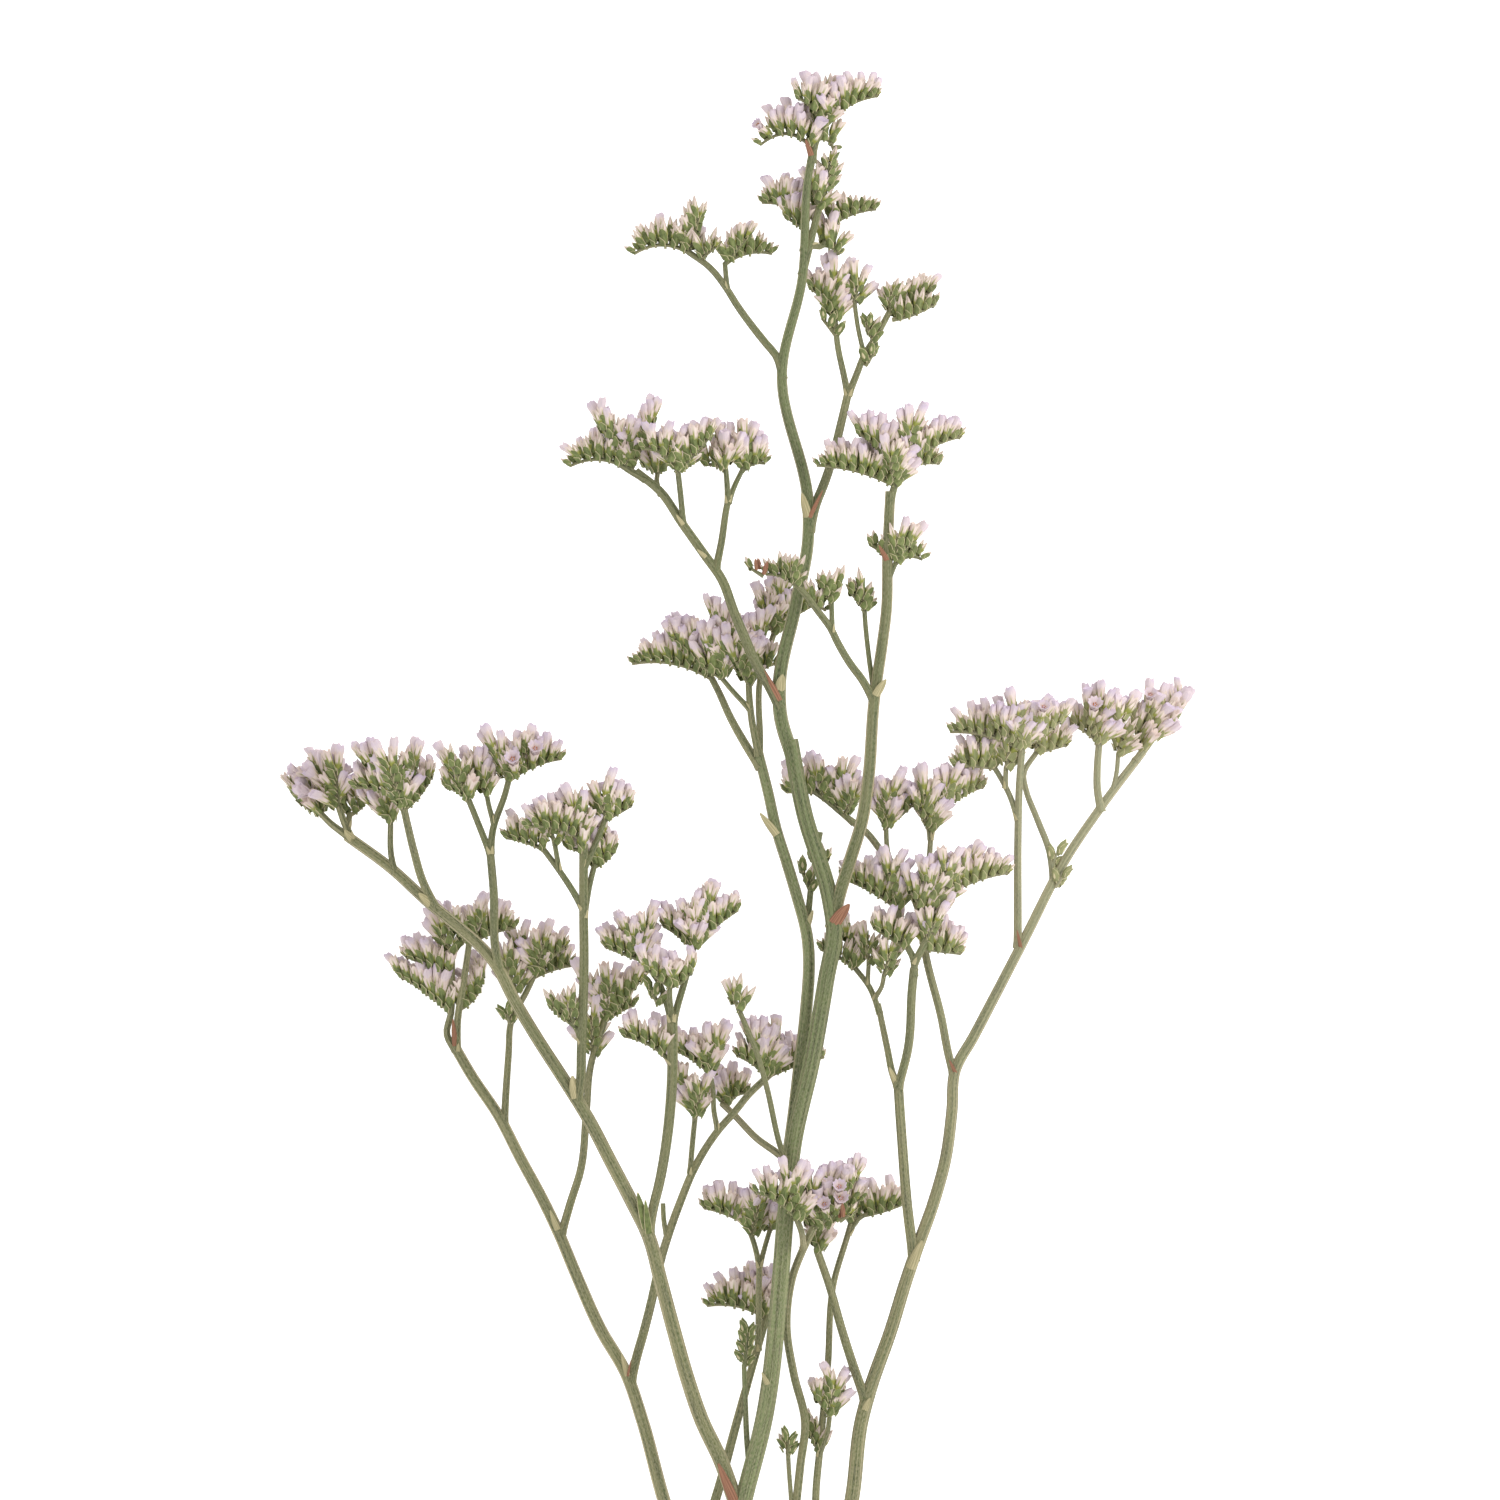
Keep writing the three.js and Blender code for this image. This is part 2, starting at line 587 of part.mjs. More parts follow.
// Middle sprays: a wide arched one on the left, a dense one, and one behind the main stem.
addSpray("spray_middle_left", ["branch_middle"], {
  twigs: [
    {
      root: 1.15,
      tip: 0.8,
      path: [
        [2.6, 183, 35.4], [-1.5, 189.5, 33.5], [-4.6, 195], [-8.3, 203, 32], [-10, 206.2, 31],
      ],
    },
  ],
  spikes: [
    [[-9.6, 205.3, 31.2], [-29.5, 209, 28], 0.2],
    [[-9.8, 205.7, 31], [-20.5, 213, 32], 0.15],
    [[-9.8, 205.8, 31], [-14.5, 214.5, 34], 0],
  ],
});
addSpray("spray_middle_dense", ["branch_middle"], {
  twigs: [
    { root: 0.95, tip: 0.75, path: [[2.2, 186, 35.8], [0.3, 196, 37], [-0.3, 205, 37.5], [0, 210, 38]] },
    { root: 0.7, tip: 0.6, path: [[0.1, 197.5, 37], [-5, 203, 37.3], [-7.5, 206, 37.5]] },
  ],
  spikes: [
    [[-7.1, 205.5, 37.4], [-12, 208.5, 38], 0],
    [[-7.1, 205.6, 37.4], [-10.5, 213, 39]],
    [[-0.2, 208.3, 37.8], [-5.5, 215.5, 39]],
    [[-0.2, 209.2, 38], [-8.5, 220, 36], 0],
    [[0, 209.5, 38], [2.8, 216.5, 38], 0],
  ],
});
addSpray("spray_middle_back", ["branch_middle", "main_stem"], {
  twigs: [
    {
      root: 0.85,
      tip: 0.7,
      path: [
        [2.4, 183.5, 35.6], [2.5, 190, 32], [2.5, 205, 31], [6.2, 217.3, 31],
      ],
    },
  ],
  spikes: [
    [[6, 216.7, 31], [3.2, 224.5, 33], 0],
    [[6.2, 216.9, 31], [7.5, 226, 32], 0],
    [[6.2, 217, 31], [16.5, 224, 29]],
  ],
});

// Left sprays: the one at the tip reaches down to the surface, three more stand along the branch.
addSpray("spray_left_end", ["branch_left"], {
  twigs: [
    { root: 1, tip: 0.75, path: [[-99, 164.6, 23], [-103, 167.5, 21], [-105, 169], [-107.5, 171.5, 18]] },
    { root: 0.95, tip: 0.8, path: [[-99.5, 164.7, 22.8], [-101.5, 169, 22], [-103, 173.2, 21]] },
    { root: 0.8, tip: 0.7, path: [[-100.9, 167.8, 22.2], [-100.3, 171.5, 19.5]] },
  ],
  spikes: [
    [[-107, 171, 18.3], [-115, 178.6, -1], -0.1],
    [[-107, 171, 18.3], [-110.5, 179.5, 10], 0],
    [[-103, 172.8, 21], [-109.5, 181.8, 17]],
    [[-103, 172.8, 21], [-103.8, 182.3, 21], 0],
    [[-100.3, 171.1, 19.6], [-95.2, 178, 14], -0.2],
  ],
});
addSpray("spray_left_second", ["branch_left"], {
  twigs: [
    { root: 0.8, tip: 0.7, path: [[-88.8, 156.5, 27], [-89.8, 161, 26.5], [-90, 169.6, 26]] },
  ],
  spikes: [[[-90, 169.2, 26], [-94.5, 173, 25], 0.2], [[-90, 169.2, 26], [-90, 174.5, 26], 0]],
});
addSpray("spray_left_third", ["branch_left"], {
  twigs: [
    {
      root: 1.1,
      tip: 0.9,
      path: [
        [-78.5, 147.7, 30.6], [-82, 155, 31], [-84, 162, 33], [-86.6, 173.2, 36],
      ],
    },
  ],
  spikes: [
    [[-86.5, 172.5, 35.8], [-99, 178, 33], 0.3],
    [[-86.5, 172.8, 36], [-95.5, 184, 36]],
    [[-86.6, 172.8, 36], [-90, 183.5, 40], 0],
    [[-86.6, 172.8, 36], [-84, 184.5, 37], 0],
    [[-86.4, 172.6, 36], [-79.8, 180.5, 33], -0.1],
  ],
});
addSpray("spray_left_fourth", ["branch_left"], {
  twigs: [
    {
      root: 1.1,
      tip: 1,
      path: [[-62.3, 131.5, 36], [-63.6, 138, 38], [-64, 152, 42], [-64.9, 162.5, 43]],
    },
    { root: 0.85, tip: 0.75, path: [[-64.8, 161.5, 43], [-67, 167], [-69, 172], [-70.5, 175.6, 42]] },
    { root: 0.9, tip: 0.75, path: [[-64.8, 161.5, 43], [-64.3, 167], [-61, 177], [-60.2, 180.2, 43]] },
    { root: 0.65, tip: 0.6, path: [[-63.9, 169, 43], [-65.3, 174, 41.5], [-65.7, 176.2, 41]] },
  ],
  spikes: [
    [[-70.4, 175.1, 42], [-75, 184, 44.5]],
    [[-70.4, 175.1, 42], [-75.8, 178, 40], 0.2],
    [[-65.7, 175.8, 41], [-68.8, 183, 40], 0],
    [[-60.4, 179.6, 43], [-62.8, 186.5, 43], 0],
    [[-60.2, 179.8, 43], [-55.7, 187.5, 45], 0],
    [[-60.3, 179.7, 43], [-47, 185.3, 41], 0.15],
  ],
});
addSpray("spray_left_upright", ["branch_left", "main_stem"], {
  twigs: [
    {
      root: 1.2,
      tip: 1.35,
      path: [
        [-25.3, 66.5, 33.8], [-24.4, 72, 35], [-22.5, 80, 37], [-20.8, 90, 40], [-19.5, 104],
        [-19.4, 121.5, 46],
      ],
    },
    { root: 0.65, tip: 0.6, path: [[-19.4, 109, 44], [-21.7, 111.6, 43]] },
    { root: 0.85, tip: 0.7, path: [[-19.6, 119.5, 46], [-21, 125, 45.5], [-23, 130], [-27, 135.3, 44]] },
    { root: 0.9, tip: 0.75, path: [[-19.2, 119.5, 46], [-18, 124, 45.5], [-16.5, 129], [-14, 138.3, 45]] },
    { root: 0.75, tip: 0.65, path: [[-19.4, 120.5, 46], [-20, 125, 49], [-20, 129, 52]] },
  ],
  spikes: [
    [[-21.3, 111.3, 43.2], [-31.5, 116, 41], 0.15],
    [[-26.8, 134.9, 44], [-36, 138.3, 42], 0],
    [[-26.8, 134.9, 44], [-31, 141.5, 45]],
    [[-27, 134.9, 44], [-25.7, 143, 45], 0],
    [[-14.1, 137.7, 45], [-21.5, 143.5, 43]],
    [[-14, 137.9, 45], [-10, 149.5, 45], 0],
    [[-13.9, 138, 45], [-3, 147.5, 42]],
    [[-20, 128.5, 51.6], [-26, 133, 53], 0],
    [[-20, 128.4, 51.5], [-14.5, 132.5, 51], -0.2],
  ],
});
addSpray("spray_left_tall", ["branch_left", "main_stem"], {
  twigs: [
    {
      root: 1.2,
      tip: 1.1,
      path: [
        [-43, 100.3, 38], [-42.3, 105, 40], [-42.1, 112, 42], [-41.4, 135], [-41.5, 146, 48],
        [-41.5, 165.2, 48.5],
      ],
    },
    { root: 0.85, tip: 0.7, path: [[-41.5, 147.5, 48], [-44, 152, 48], [-48, 158], [-51.5, 162.7, 46]] },
    { root: 0.8, tip: 0.7, path: [[-41.4, 145.5, 48], [-40, 154, 46.5], [-38.8, 158.8, 45]] },
    { root: 0.8, tip: 0.65, path: [[-41.4, 158, 48.5], [-39, 163, 48], [-37, 168], [-36.1, 170.4, 46.5]] },
    { root: 0.75, tip: 0.6, path: [[-42.1, 114, 42.5], [-43.5, 118.2, 43], [-46, 120.4, 43]] },
  ],
  spikes: [
    [[-51.1, 162.4, 46], [-60.8, 165.5, 43]],
    [[-41.5, 164.6, 48.5], [-56, 168, 53], 0.25],
    [[-41.5, 164.8, 48.5], [-43.5, 172.5, 50], 0],
    [[-38.8, 158.3, 45], [-36.8, 165.5, 43], 0],
    [[-36.3, 169.9, 46.5], [-29.8, 173.5, 45], 0],
    [[-36.3, 170, 46.5], [-37.2, 177, 48], 0],
    [[-46, 120.2, 43], [-49.8, 123.3, 42], 0],
    [[-43.7, 118.4, 43], [-45.2, 123.8, 45], 0],
  ],
});

// Far left sprays: the outermost, one on a tall twig, and an upright one that crosses under.
addSpray("spray_far_left_end", ["branch_far_left", "branch_left"], {
  twigs: [
    {
      root: 0.9,
      tip: 0.7,
      path: [
        [-73.8, 112, 14.2], [-76, 116, 14], [-75, 121.5], [-74.7, 130, 15.5], [-74.7, 137.2, 16],
      ],
    },
    { root: 0.95, tip: 0.75, path: [[-73.5, 112, 14.2], [-73.3, 120, 15], [-72, 128, 17], [-70.3, 139.7, 18]] },
  ],
  spikes: [
    [[-74.7, 121.5, 14.2], [-88, 131, 11], 0.05],
    [[-74.8, 131.5, 15.5], [-86.5, 137.5, 13], 0],
    [[-74.7, 136.5, 16], [-77, 142, 16], 0],
    [[-72.8, 122.5, 15.5], [-67.2, 130.5, 12], -0.25],
    [[-70.5, 138.8, 18], [-74.5, 146, 20], 0],
    [[-70.4, 139.2, 18], [-67.3, 146.5, 20], 0],
    [[-70.4, 139, 18], [-58.8, 143, 16]],
  ],
});
addSpray("spray_far_left_twig", ["branch_far_left", "branch_left"], {
  twigs: [
    {
      root: 0.95,
      tip: 0.7,
      path: [
        [-61.6, 93.2, 15.2], [-61.4, 98, 15], [-60.5, 112], [-60, 119, 14.5], [-56, 127], [-54, 131.2, 14],
      ],
    },
  ],
  spikes: [
    [[-57.8, 124, 14.3], [-61, 133, 16], 0],
    [[-54, 130.7, 14], [-58, 138.8, 14], 0],
    [[-54, 130.7, 14], [-52, 138.5, 17], 0],
    [[-54, 130.8, 14], [-46.5, 138, 15]],
    [[-54, 130.6, 14], [-43.5, 133.5, 11]],
  ],
});
addSpray("spray_far_left_inner", ["branch_far_left", "branch_left"], {
  twigs: [
    {
      root: 1.05,
      tip: 0.8,
      path: [[-47.3, 66, 16], [-45, 74, 17], [-42.5, 82], [-41, 97, 20], [-40, 108], [-36.3, 120, 22]],
    },
  ],
  spikes: [
    [[-39.4, 110.5, 21], [-39.6, 119, 23], 0],
    [[-36.5, 119.4, 22], [-40, 127.5, 23], 0],
    [[-36.4, 119.5, 22], [-35, 128.5, 25], 0],
    [[-36.4, 119.6, 22], [-27.8, 129.3, 22], 0],
    [[-36.4, 119.4, 22], [-29, 123.5, 18]],
  ],
});
addSpray("spray_far_left_crossing", ["branch_far_left", "branch_left", "main_stem", "branch_middle"], {
  twigs: [
    {
      root: 1.2,
      tip: 0.85,
      path: [
        [-29.9, 29, 16], [-28.5, 35, 16.5], [-26.8, 41], [-25, 48, 19.5], [-22, 61, 22], [-17.2, 75],
        [-14.3, 82, 27], [-7.4, 93, 30], [-3.8, 97], [-0.6, 101, 30], [5, 106.3, 28.5],
      ],
    },
    { root: 0.65, tip: 0.6, path: [[-20.7, 64.5, 22.8], [-21.6, 70, 24], [-21.8, 74, 24]] },
    { root: 0.7, tip: 0.65, path: [[-15, 81.5, 27], [-14.5, 88, 29], [-13.7, 96, 30]] },
    { root: 0.65, tip: 0.6, path: [[-8.1, 92.5, 30], [-9, 97, 31], [-9.3, 103, 32], [-10.2, 107.3, 32.5]] },
  ],
  spikes: [
    [[-13.7, 95.5, 30], [-17.8, 104.5, 29], 0],
    [[-10.1, 106.8, 32.5], [-17.8, 112, 31]],
    [[-10.2, 106.9, 32.5], [-8, 113.5, 34], 0],
    [[4.6, 105.9, 28.5], [-3, 111, 29]],
    [[4.9, 106, 28.5], [6.5, 114.5, 26], 0],
    [[4.9, 106, 28.5], [18.5, 110.5, 21], 0.05],
  ],
});

// Two single spikes on thin side twigs of the main stem: one in front, one behind.
addSpray("spray_single_front", ["main_stem"], {
  twigs: [
    {
      root: 0.75,
      tip: 0.65,
      path: [
        [10, 83, 34], [8.3, 86.5, 37.5], [4, 104, 44], [2, 111, 46], [-3, 123.3, 49],
      ],
    },
  ],
  spikes: [[[-2.9, 122.8, 49], [-4.3, 127.5, 50], 0]],
});
addSpray("spray_single_back", ["main_stem", "branch_middle"], {
  twigs: [
    {
      root: 0.95,
      tip: 0.8,
      path: [
        [10, 84, 34], [7, 86.5, 31], [2, 90, 25], [-4, 96, 16], [-7, 98.8, 12],
      ],
    },
  ],
  spikes: [
    [[-6.7, 98.5, 12.3], [-6.5, 103, 12], 0],
    [[-6.7, 98.5, 12.3], [-1, 101.5, 11], 0.2],
  ],
});

// Centre spray: a dense head on a low side stem that passes behind the main stem's foot.
addSpray("spray_centre", ["branch_right", "main_stem"], {
  twigs: [
    {
      root: 1.1,
      tip: 0.95,
      path: [
        [12, -46, 12.8], [11.3, -25, 14], [11, -10], [12.6, 8, 17], [13.8, 19], [11, 31, 20.5],
        [9.2, 43, 22.5], [10.5, 55, 26], [13, 62, 31], [16, 68.3, 36],
      ],
    },
    { root: 0.6, tip: 0.55, path: [[11, -11, 15.3], [10.3, 0, 16.5], [9.7, 8], [9.5, 12, 18]] },
    { root: 0.8, tip: 0.75, path: [[13.4, 63, 32], [12.6, 68, 40], [11.6, 70.5, 42]] },
  ],
  spikes: [
    [[9.5, 11.5, 18], [9.5, 16.5, 19], 0],
    [[11.9, 70, 41.6], [1.5, 77, 44], 0.2],
    [[12, 69.7, 41.3], [10, 79, 44], 0],
    [[15.8, 67.8, 35.6], [20, 78, 39], 0],
    [[15.9, 67.9, 35.8], [25.5, 79, 41], 0],
    [[15.9, 67.7, 35.7], [28.5, 75.5, 37]],
    [[15.7, 67.5, 35.3], [22.5, 70.5, 32], 0],
  ],
});
addSpray("spray_centre_low", ["branch_right", "main_stem"], {
  twigs: [
    {
      root: 1.2,
      tip: 0.95,
      path: [
        [28.8, 25, 20], [26.3, 32, 21.3], [22.8, 43], [20, 53, 25.5], [16.8, 62.3, 27],
      ],
    },
  ],
  spikes: [
    [[17, 61.7, 27], [14.5, 69.5, 26], 0],
    [[17, 61.7, 27], [19.3, 70.5, 26], 0],
  ],
});

// Thin stem behind the centre spray, with a small head low down and two at its top.
addSpray("spray_centre_back", ["branch_right", "main_stem"], {
  twigs: [
    {
      root: 1,
      tip: 0.75,
      path: [
        [19.5, -25.5, 14.8], [17, -12, 13.7], [16.5, 0, 13.5], [17.5, 12, 14], [19.5, 33, 15.5],
        [21, 54, 17.5], [24.5, 66], [25.3, 68.8, 20],
      ],
    },
    { root: 0.7, tip: 0.6, path: [[17.3, 10.5, 14], [19.5, 17, 18], [20, 21.3, 20.5]] },
    { root: 0.55, tip: 0.55, path: [[24.8, 66, 19.7], [27, 69.8, 20], [29, 71.2, 20]] },
  ],
  spikes: [
    [[20, 20.8, 20.3], [16.8, 25, 21.5], 0],
    [[20, 20.8, 20.3], [21, 27.5, 22.5], 0],
    [[25.3, 68.3, 20], [27, 74.5, 19], 0],
    [[28.6, 70.9, 20], [38, 73.5, 19], -0.05],
  ],
});

// Low left spray: a side stem of the far left branch that passes behind the main stem.
addSpray("spray_low_left", ["branch_far_left", "main_stem"], {
  twigs: [
    {
      root: 1.45,
      tip: 0.95,
      path: [
        [-15.2, -20, 14], [-8.5, 0, 12], [-3, 20], [-0.5, 29, 12], [3.3, 42.5, 13],
      ],
    },
    { root: 0.85, tip: 0.75, path: [[2, 37, 12.8], [2.2, 45, 16], [2.2, 52, 20], [2.4, 59.5, 24]] },
    { root: 0.7, tip: 0.65, path: [[2.4, 58, 23.5], [1, 64, 25], [-1, 69.3, 25]] },
    { root: 0.65, tip: 0.6, path: [[2.4, 58, 23.5], [4, 64, 23], [5, 67.3, 22]] },
  ],
  spikes: [
    [[2.9, 41.3, 13], [-11, 46.5, 11], 0.2],
    [[3.1, 42, 13], [0.5, 50, 9], 0],
    [[-0.8, 68.8, 25], [-11.5, 72.8, 24]],
    [[0.5, 65.4, 25], [2, 73, 27], 0],
    [[4.9, 66.8, 22], [6.5, 71, 19], 0],
  ],
});

// Right inner sprays: three small heads on the left fork, a wide double one on the right fork.
const rightInnerNeighbours = ["branch_right_inner", "main_stem", "branch_middle", "branch_upper_right"];
addSpray("spray_right_inner_left", rightInnerNeighbours, {
  twigs: [
    { root: 0.75, tip: 0.65, path: [[32.5, 121.5, 32.5], [30, 128, 31], [26, 133.3, 29]] },
    { root: 0.55, tip: 0.55, path: [[29.4, 129, 30.7], [29.7, 134.4, 33]] },
    { root: 0.6, tip: 0.55, path: [[31.1, 125.3, 31.7], [33, 128.5, 34.5], [33.5, 131.4, 37]] },
  ],
  spikes: [
    [[26.2, 133, 29.2], [24.5, 140, 28], 0],
    [[26.3, 132.8, 29.2], [17.8, 137.5, 25], 0.1],
    [[29.7, 134, 33], [29.5, 138.5, 34], 0],
    [[33.5, 131, 37], [34.8, 136, 39], 0],
  ],
});
addSpray("spray_right_inner_end", ["branch_right_inner", "branch_right_middle", "branch_upper_right"], {
  twigs: [
    {
      root: 0.9,
      tip: 0.7,
      path: [
        [41, 131, 41.7], [40.9, 135, 41.9], [39, 139, 41], [37.5, 144, 39], [37, 148.2, 37.5],
      ],
    },
    { root: 0.95, tip: 0.75, path: [[41, 134.2, 41.9], [43, 138, 43], [47, 146, 43], [50, 152.3, 43]] },
  ],
  spikes: [
    [[37, 147.7, 37.6], [23, 154.5, 34], 0.1],
    [[37, 147.8, 37.5], [35, 156.5, 40], 0],
    [[39.3, 138, 41.2], [31, 143, 39.5], 0],
    [[43, 138.2, 43], [53.5, 137.3, 40], 0],
    [[47, 146, 43], [43.5, 155.5, 46], 0],
    [[49.8, 151.8, 43], [54.5, 158.5, 43], 0],
    [[49.8, 151.9, 43], [64.5, 156.8, 40]],
  ],
});

// Right middle sprays: a long one behind the upper right branch, and two on upright twigs.
addSpray("spray_right_middle_end", ["branch_right_middle", "branch_upper_right", "main_stem"], {
  twigs: [{ root: 0.8, tip: 0.65, path: [[26, 169.2, 30.8], [22, 172.5, 31], [19, 175], [15.5, 177.4, 31]] }],
  spikes: [
    [[16, 177, 31], [9, 177, 29], 0],
    [[18.7, 175.2, 31], [16.8, 180.5, 33], 0],
    [[21.3, 173.1, 31], [23.5, 179.8, 33], 0],
    [[23.5, 171.2, 31], [26, 175.5, 35], 0],
  ],
});
addSpray("spray_right_middle_short", ["branch_right_middle", "branch_upper_right"], {
  twigs: [{ root: 0.65, tip: 0.6, path: [[37, 156, 29], [34.5, 162, 30], [34, 168.4, 30]] }],
  spikes: [
    [[34, 168, 30], [31.8, 174, 29], 0],
    [[34, 168, 30], [35, 176, 32], 0],
    [[34, 168, 30], [41.5, 174.5, 29], 0],
  ],
});
addSpray("spray_right_middle_tall", ["branch_right_middle"], {
  twigs: [
    { root: 0.8, tip: 0.65, path: [[42.2, 145.5, 29], [43, 152, 31], [44.5, 158, 32], [45.3, 167.3, 32]] },
    { root: 0.65, tip: 0.6, path: [[45.1, 165, 32], [46.5, 170, 32], [48.5, 173.3, 32]] },
  ],
  spikes: [
    [[45.2, 167, 32], [44, 176, 33], 0],
    [[48.3, 172.9, 32], [49.5, 178, 33], 0],
    [[48.3, 172.9, 32], [58.5, 178.3, 26]],
  ],
});

// Right sprays: a wide one on a tall twig, one behind it, and three near the branch's tip.
addSpray("spray_right_tall", ["branch_right"], {
  twigs: [
    {
      root: 1.05,
      tip: 0.85,
      path: [
        [67, 138, 28], [67, 145, 29], [67, 165], [67.3, 178, 35], [68, 188.3, 36.5],
      ],
    },
    { root: 0.75, tip: 0.65, path: [[67, 170, 34], [65, 176], [63, 180, 33], [61, 183.3, 32.5]] },
  ],
  spikes: [
    [[61.2, 183, 32.5], [51, 183.5, 33], 0.05],
    [[61.2, 183, 32.5], [56.5, 190, 32], 0],
    [[67.9, 187.6, 36.5], [50, 191, 34], 0.15],
    [[67.9, 187.8, 36.5], [60.5, 194.5, 38], 0],
    [[68, 187.9, 36.5], [66.5, 196, 40], 0],
    [[68, 187.9, 36.5], [73, 195, 39], 0],
    [[68, 187.8, 36.5], [78.3, 193.5, 36], 0],
  ],
});
addSpray("spray_right_crossing", ["branch_right"], {
  twigs: [
    {
      root: 0.9,
      tip: 0.65,
      path: [[76, 154.5, 25.3], [75, 162, 25], [72, 170], [69, 178, 23.5], [68.5, 181], [72, 187.3, 24]],
    },
  ],
  spikes: [
    [[71.8, 186.9, 24], [79, 188.7, 23], 0],
    [[71.7, 186.7, 24], [72, 192, 25], 0],
  ],
});
addSpray("spray_right_upright", ["branch_right"], {
  twigs: [{ root: 1, tip: 0.85, path: [[88, 172, 20.6], [87, 178, 21], [87, 183], [87.5, 189.7, 22.5]] }],
  spikes: [
    [[87.4, 189.2, 22.5], [80, 194, 20], 0.15],
    [[87.4, 189.2, 22.5], [84, 197, 24], 0],
    [[87.5, 189.2, 22.5], [88, 198, 25], 0],
    [[87.5, 189.2, 22.5], [93, 195.5, 23], 0],
  ],
});
addSpray("spray_right_small", ["branch_right"], {
  twigs: [{ root: 0.6, tip: 0.55, path: [[91, 177.5, 18.8], [92, 182.5, 17.5], [92.3, 186.6, 16.5]] }],
  spikes: [[[92.3, 186.2, 16.5], [93.5, 191, 15], 0]],
});
addSpray("spray_right_end", ["branch_right"], {
  twigs: [{ root: 0.9, tip: 0.75, path: [[96.5, 184.6, 15.3], [99, 187.5, 13.5], [101, 190.2, 12]] }],
  spikes: [
    [[98.5, 187, 13.8], [96, 195, 12], 0],
    [[100.8, 189.8, 12.2], [99.5, 198, 14], 0],
    [[100.8, 189.8, 12.2], [103.8, 198, 11], 0],
    [[100.8, 189.8, 12.2], [108, 199, -1], -0.1],
  ],
});

// The origin is on the surface under the middle of the spray.
const bounds = new THREE.Box3().setFromObject(spray);
const middle = bounds.getCenter(new THREE.Vector3());
spray.position.set(-middle.x, -middle.y, -bounds.min.z);

export default spray;
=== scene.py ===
import math
import random

import bpy
from mathutils import Matrix, Vector
from mathutils.geometry import interpolate_bezier


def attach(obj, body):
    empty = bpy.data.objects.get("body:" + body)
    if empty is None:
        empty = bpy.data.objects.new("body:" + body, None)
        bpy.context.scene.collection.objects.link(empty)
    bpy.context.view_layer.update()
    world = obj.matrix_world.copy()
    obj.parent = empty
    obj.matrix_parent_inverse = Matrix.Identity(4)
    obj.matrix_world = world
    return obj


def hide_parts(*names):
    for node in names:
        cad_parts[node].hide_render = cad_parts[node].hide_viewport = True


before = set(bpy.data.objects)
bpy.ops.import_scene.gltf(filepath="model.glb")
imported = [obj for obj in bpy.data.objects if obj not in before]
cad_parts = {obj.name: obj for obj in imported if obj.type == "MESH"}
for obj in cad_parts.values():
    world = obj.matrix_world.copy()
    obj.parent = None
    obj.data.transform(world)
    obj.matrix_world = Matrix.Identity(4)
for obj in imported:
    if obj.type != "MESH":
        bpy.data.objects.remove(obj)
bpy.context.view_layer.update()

# ---- Stems ---------------------------------------------------------------------------------------
# The green stems of the dried plant: ribbed tubes that taper to the tip and swell a little at a joint.
# They are drawn in millimetres on the plant's own grid, x across, y to the top and z up from the
# surface, and each finished piece is then set into the frame.
MM = 0.001
MIDDLE = Vector((-3.678, 129.85, 0))
UP = Vector((0, 0, 1))
MERGE = 0.004
RIB_WIDTH = 1.5
FEWEST_RIBS = 5
RIB_DEPTH = 0.06
RING_STEP = 1.6
ROOT_FLARE = 0.3
FLARE_LENGTH = 1.1
SMOOTH_ANGLE = math.radians(50)
TO_LINEAR = 2.2


def colour(code):
    """A colour as red, green, blue and alpha from its six-digit code."""
    parts = [int(code[i:i + 2], 16) / 255 for i in (0, 2, 4)]
    return (*[part ** TO_LINEAR for part in parts], 1)


def sheet(name, columns, rows, rule):
    """A grid of faces, each corner put where rule(u, v) says, u running across and v along."""
    bpy.ops.object.select_all(action="DESELECT")
    bpy.ops.mesh.primitive_grid_add(x_subdivisions=columns, y_subdivisions=rows, size=1)
    made = bpy.context.object
    made.name = name
    for corner in made.data.vertices:
        corner.co = rule(corner.co.x + 0.5, corner.co.y + 0.5)
    return made


def seal(piece):
    """Merges the seam and the closed ends of a rolled sheet and turns its faces outwards."""
    bpy.ops.object.mode_set(mode="EDIT")
    bpy.ops.mesh.select_all(action="SELECT")
    bpy.ops.mesh.remove_doubles(threshold=MERGE)
    bpy.ops.mesh.normals_make_consistent(inside=False)
    bpy.ops.object.mode_set(mode="OBJECT")
    return piece


def gather(name, parts):
    """Joins parts into one object and gives it a name."""
    bpy.ops.object.select_all(action="DESELECT")
    for part in parts:
        part.select_set(True)
    bpy.context.view_layer.objects.active = parts[0]
    bpy.ops.object.join()
    whole = bpy.context.object
    whole.name = name
    return whole


def route(points):
    """Points as vectors. One without a height lies on the slope between its neighbours."""
    known = [i for i, point in enumerate(points) if len(point) == 3]
    along = [0.0]
    for before, after in zip(points, points[1:]):
        along.append(along[-1] + math.dist(before[:2], after[:2]))
    spots = []
    for i, point in enumerate(points):
        below = max(k for k in known if k <= i)
        above = min(k for k in known if k >= i)
        share = (along[i] - along[below]) / ((along[above] - along[below]) or 1)
        height = points[below][2] + (points[above][2] - points[below][2]) * share
        spots.append(Vector((point[0], point[1], height)))
    return spots


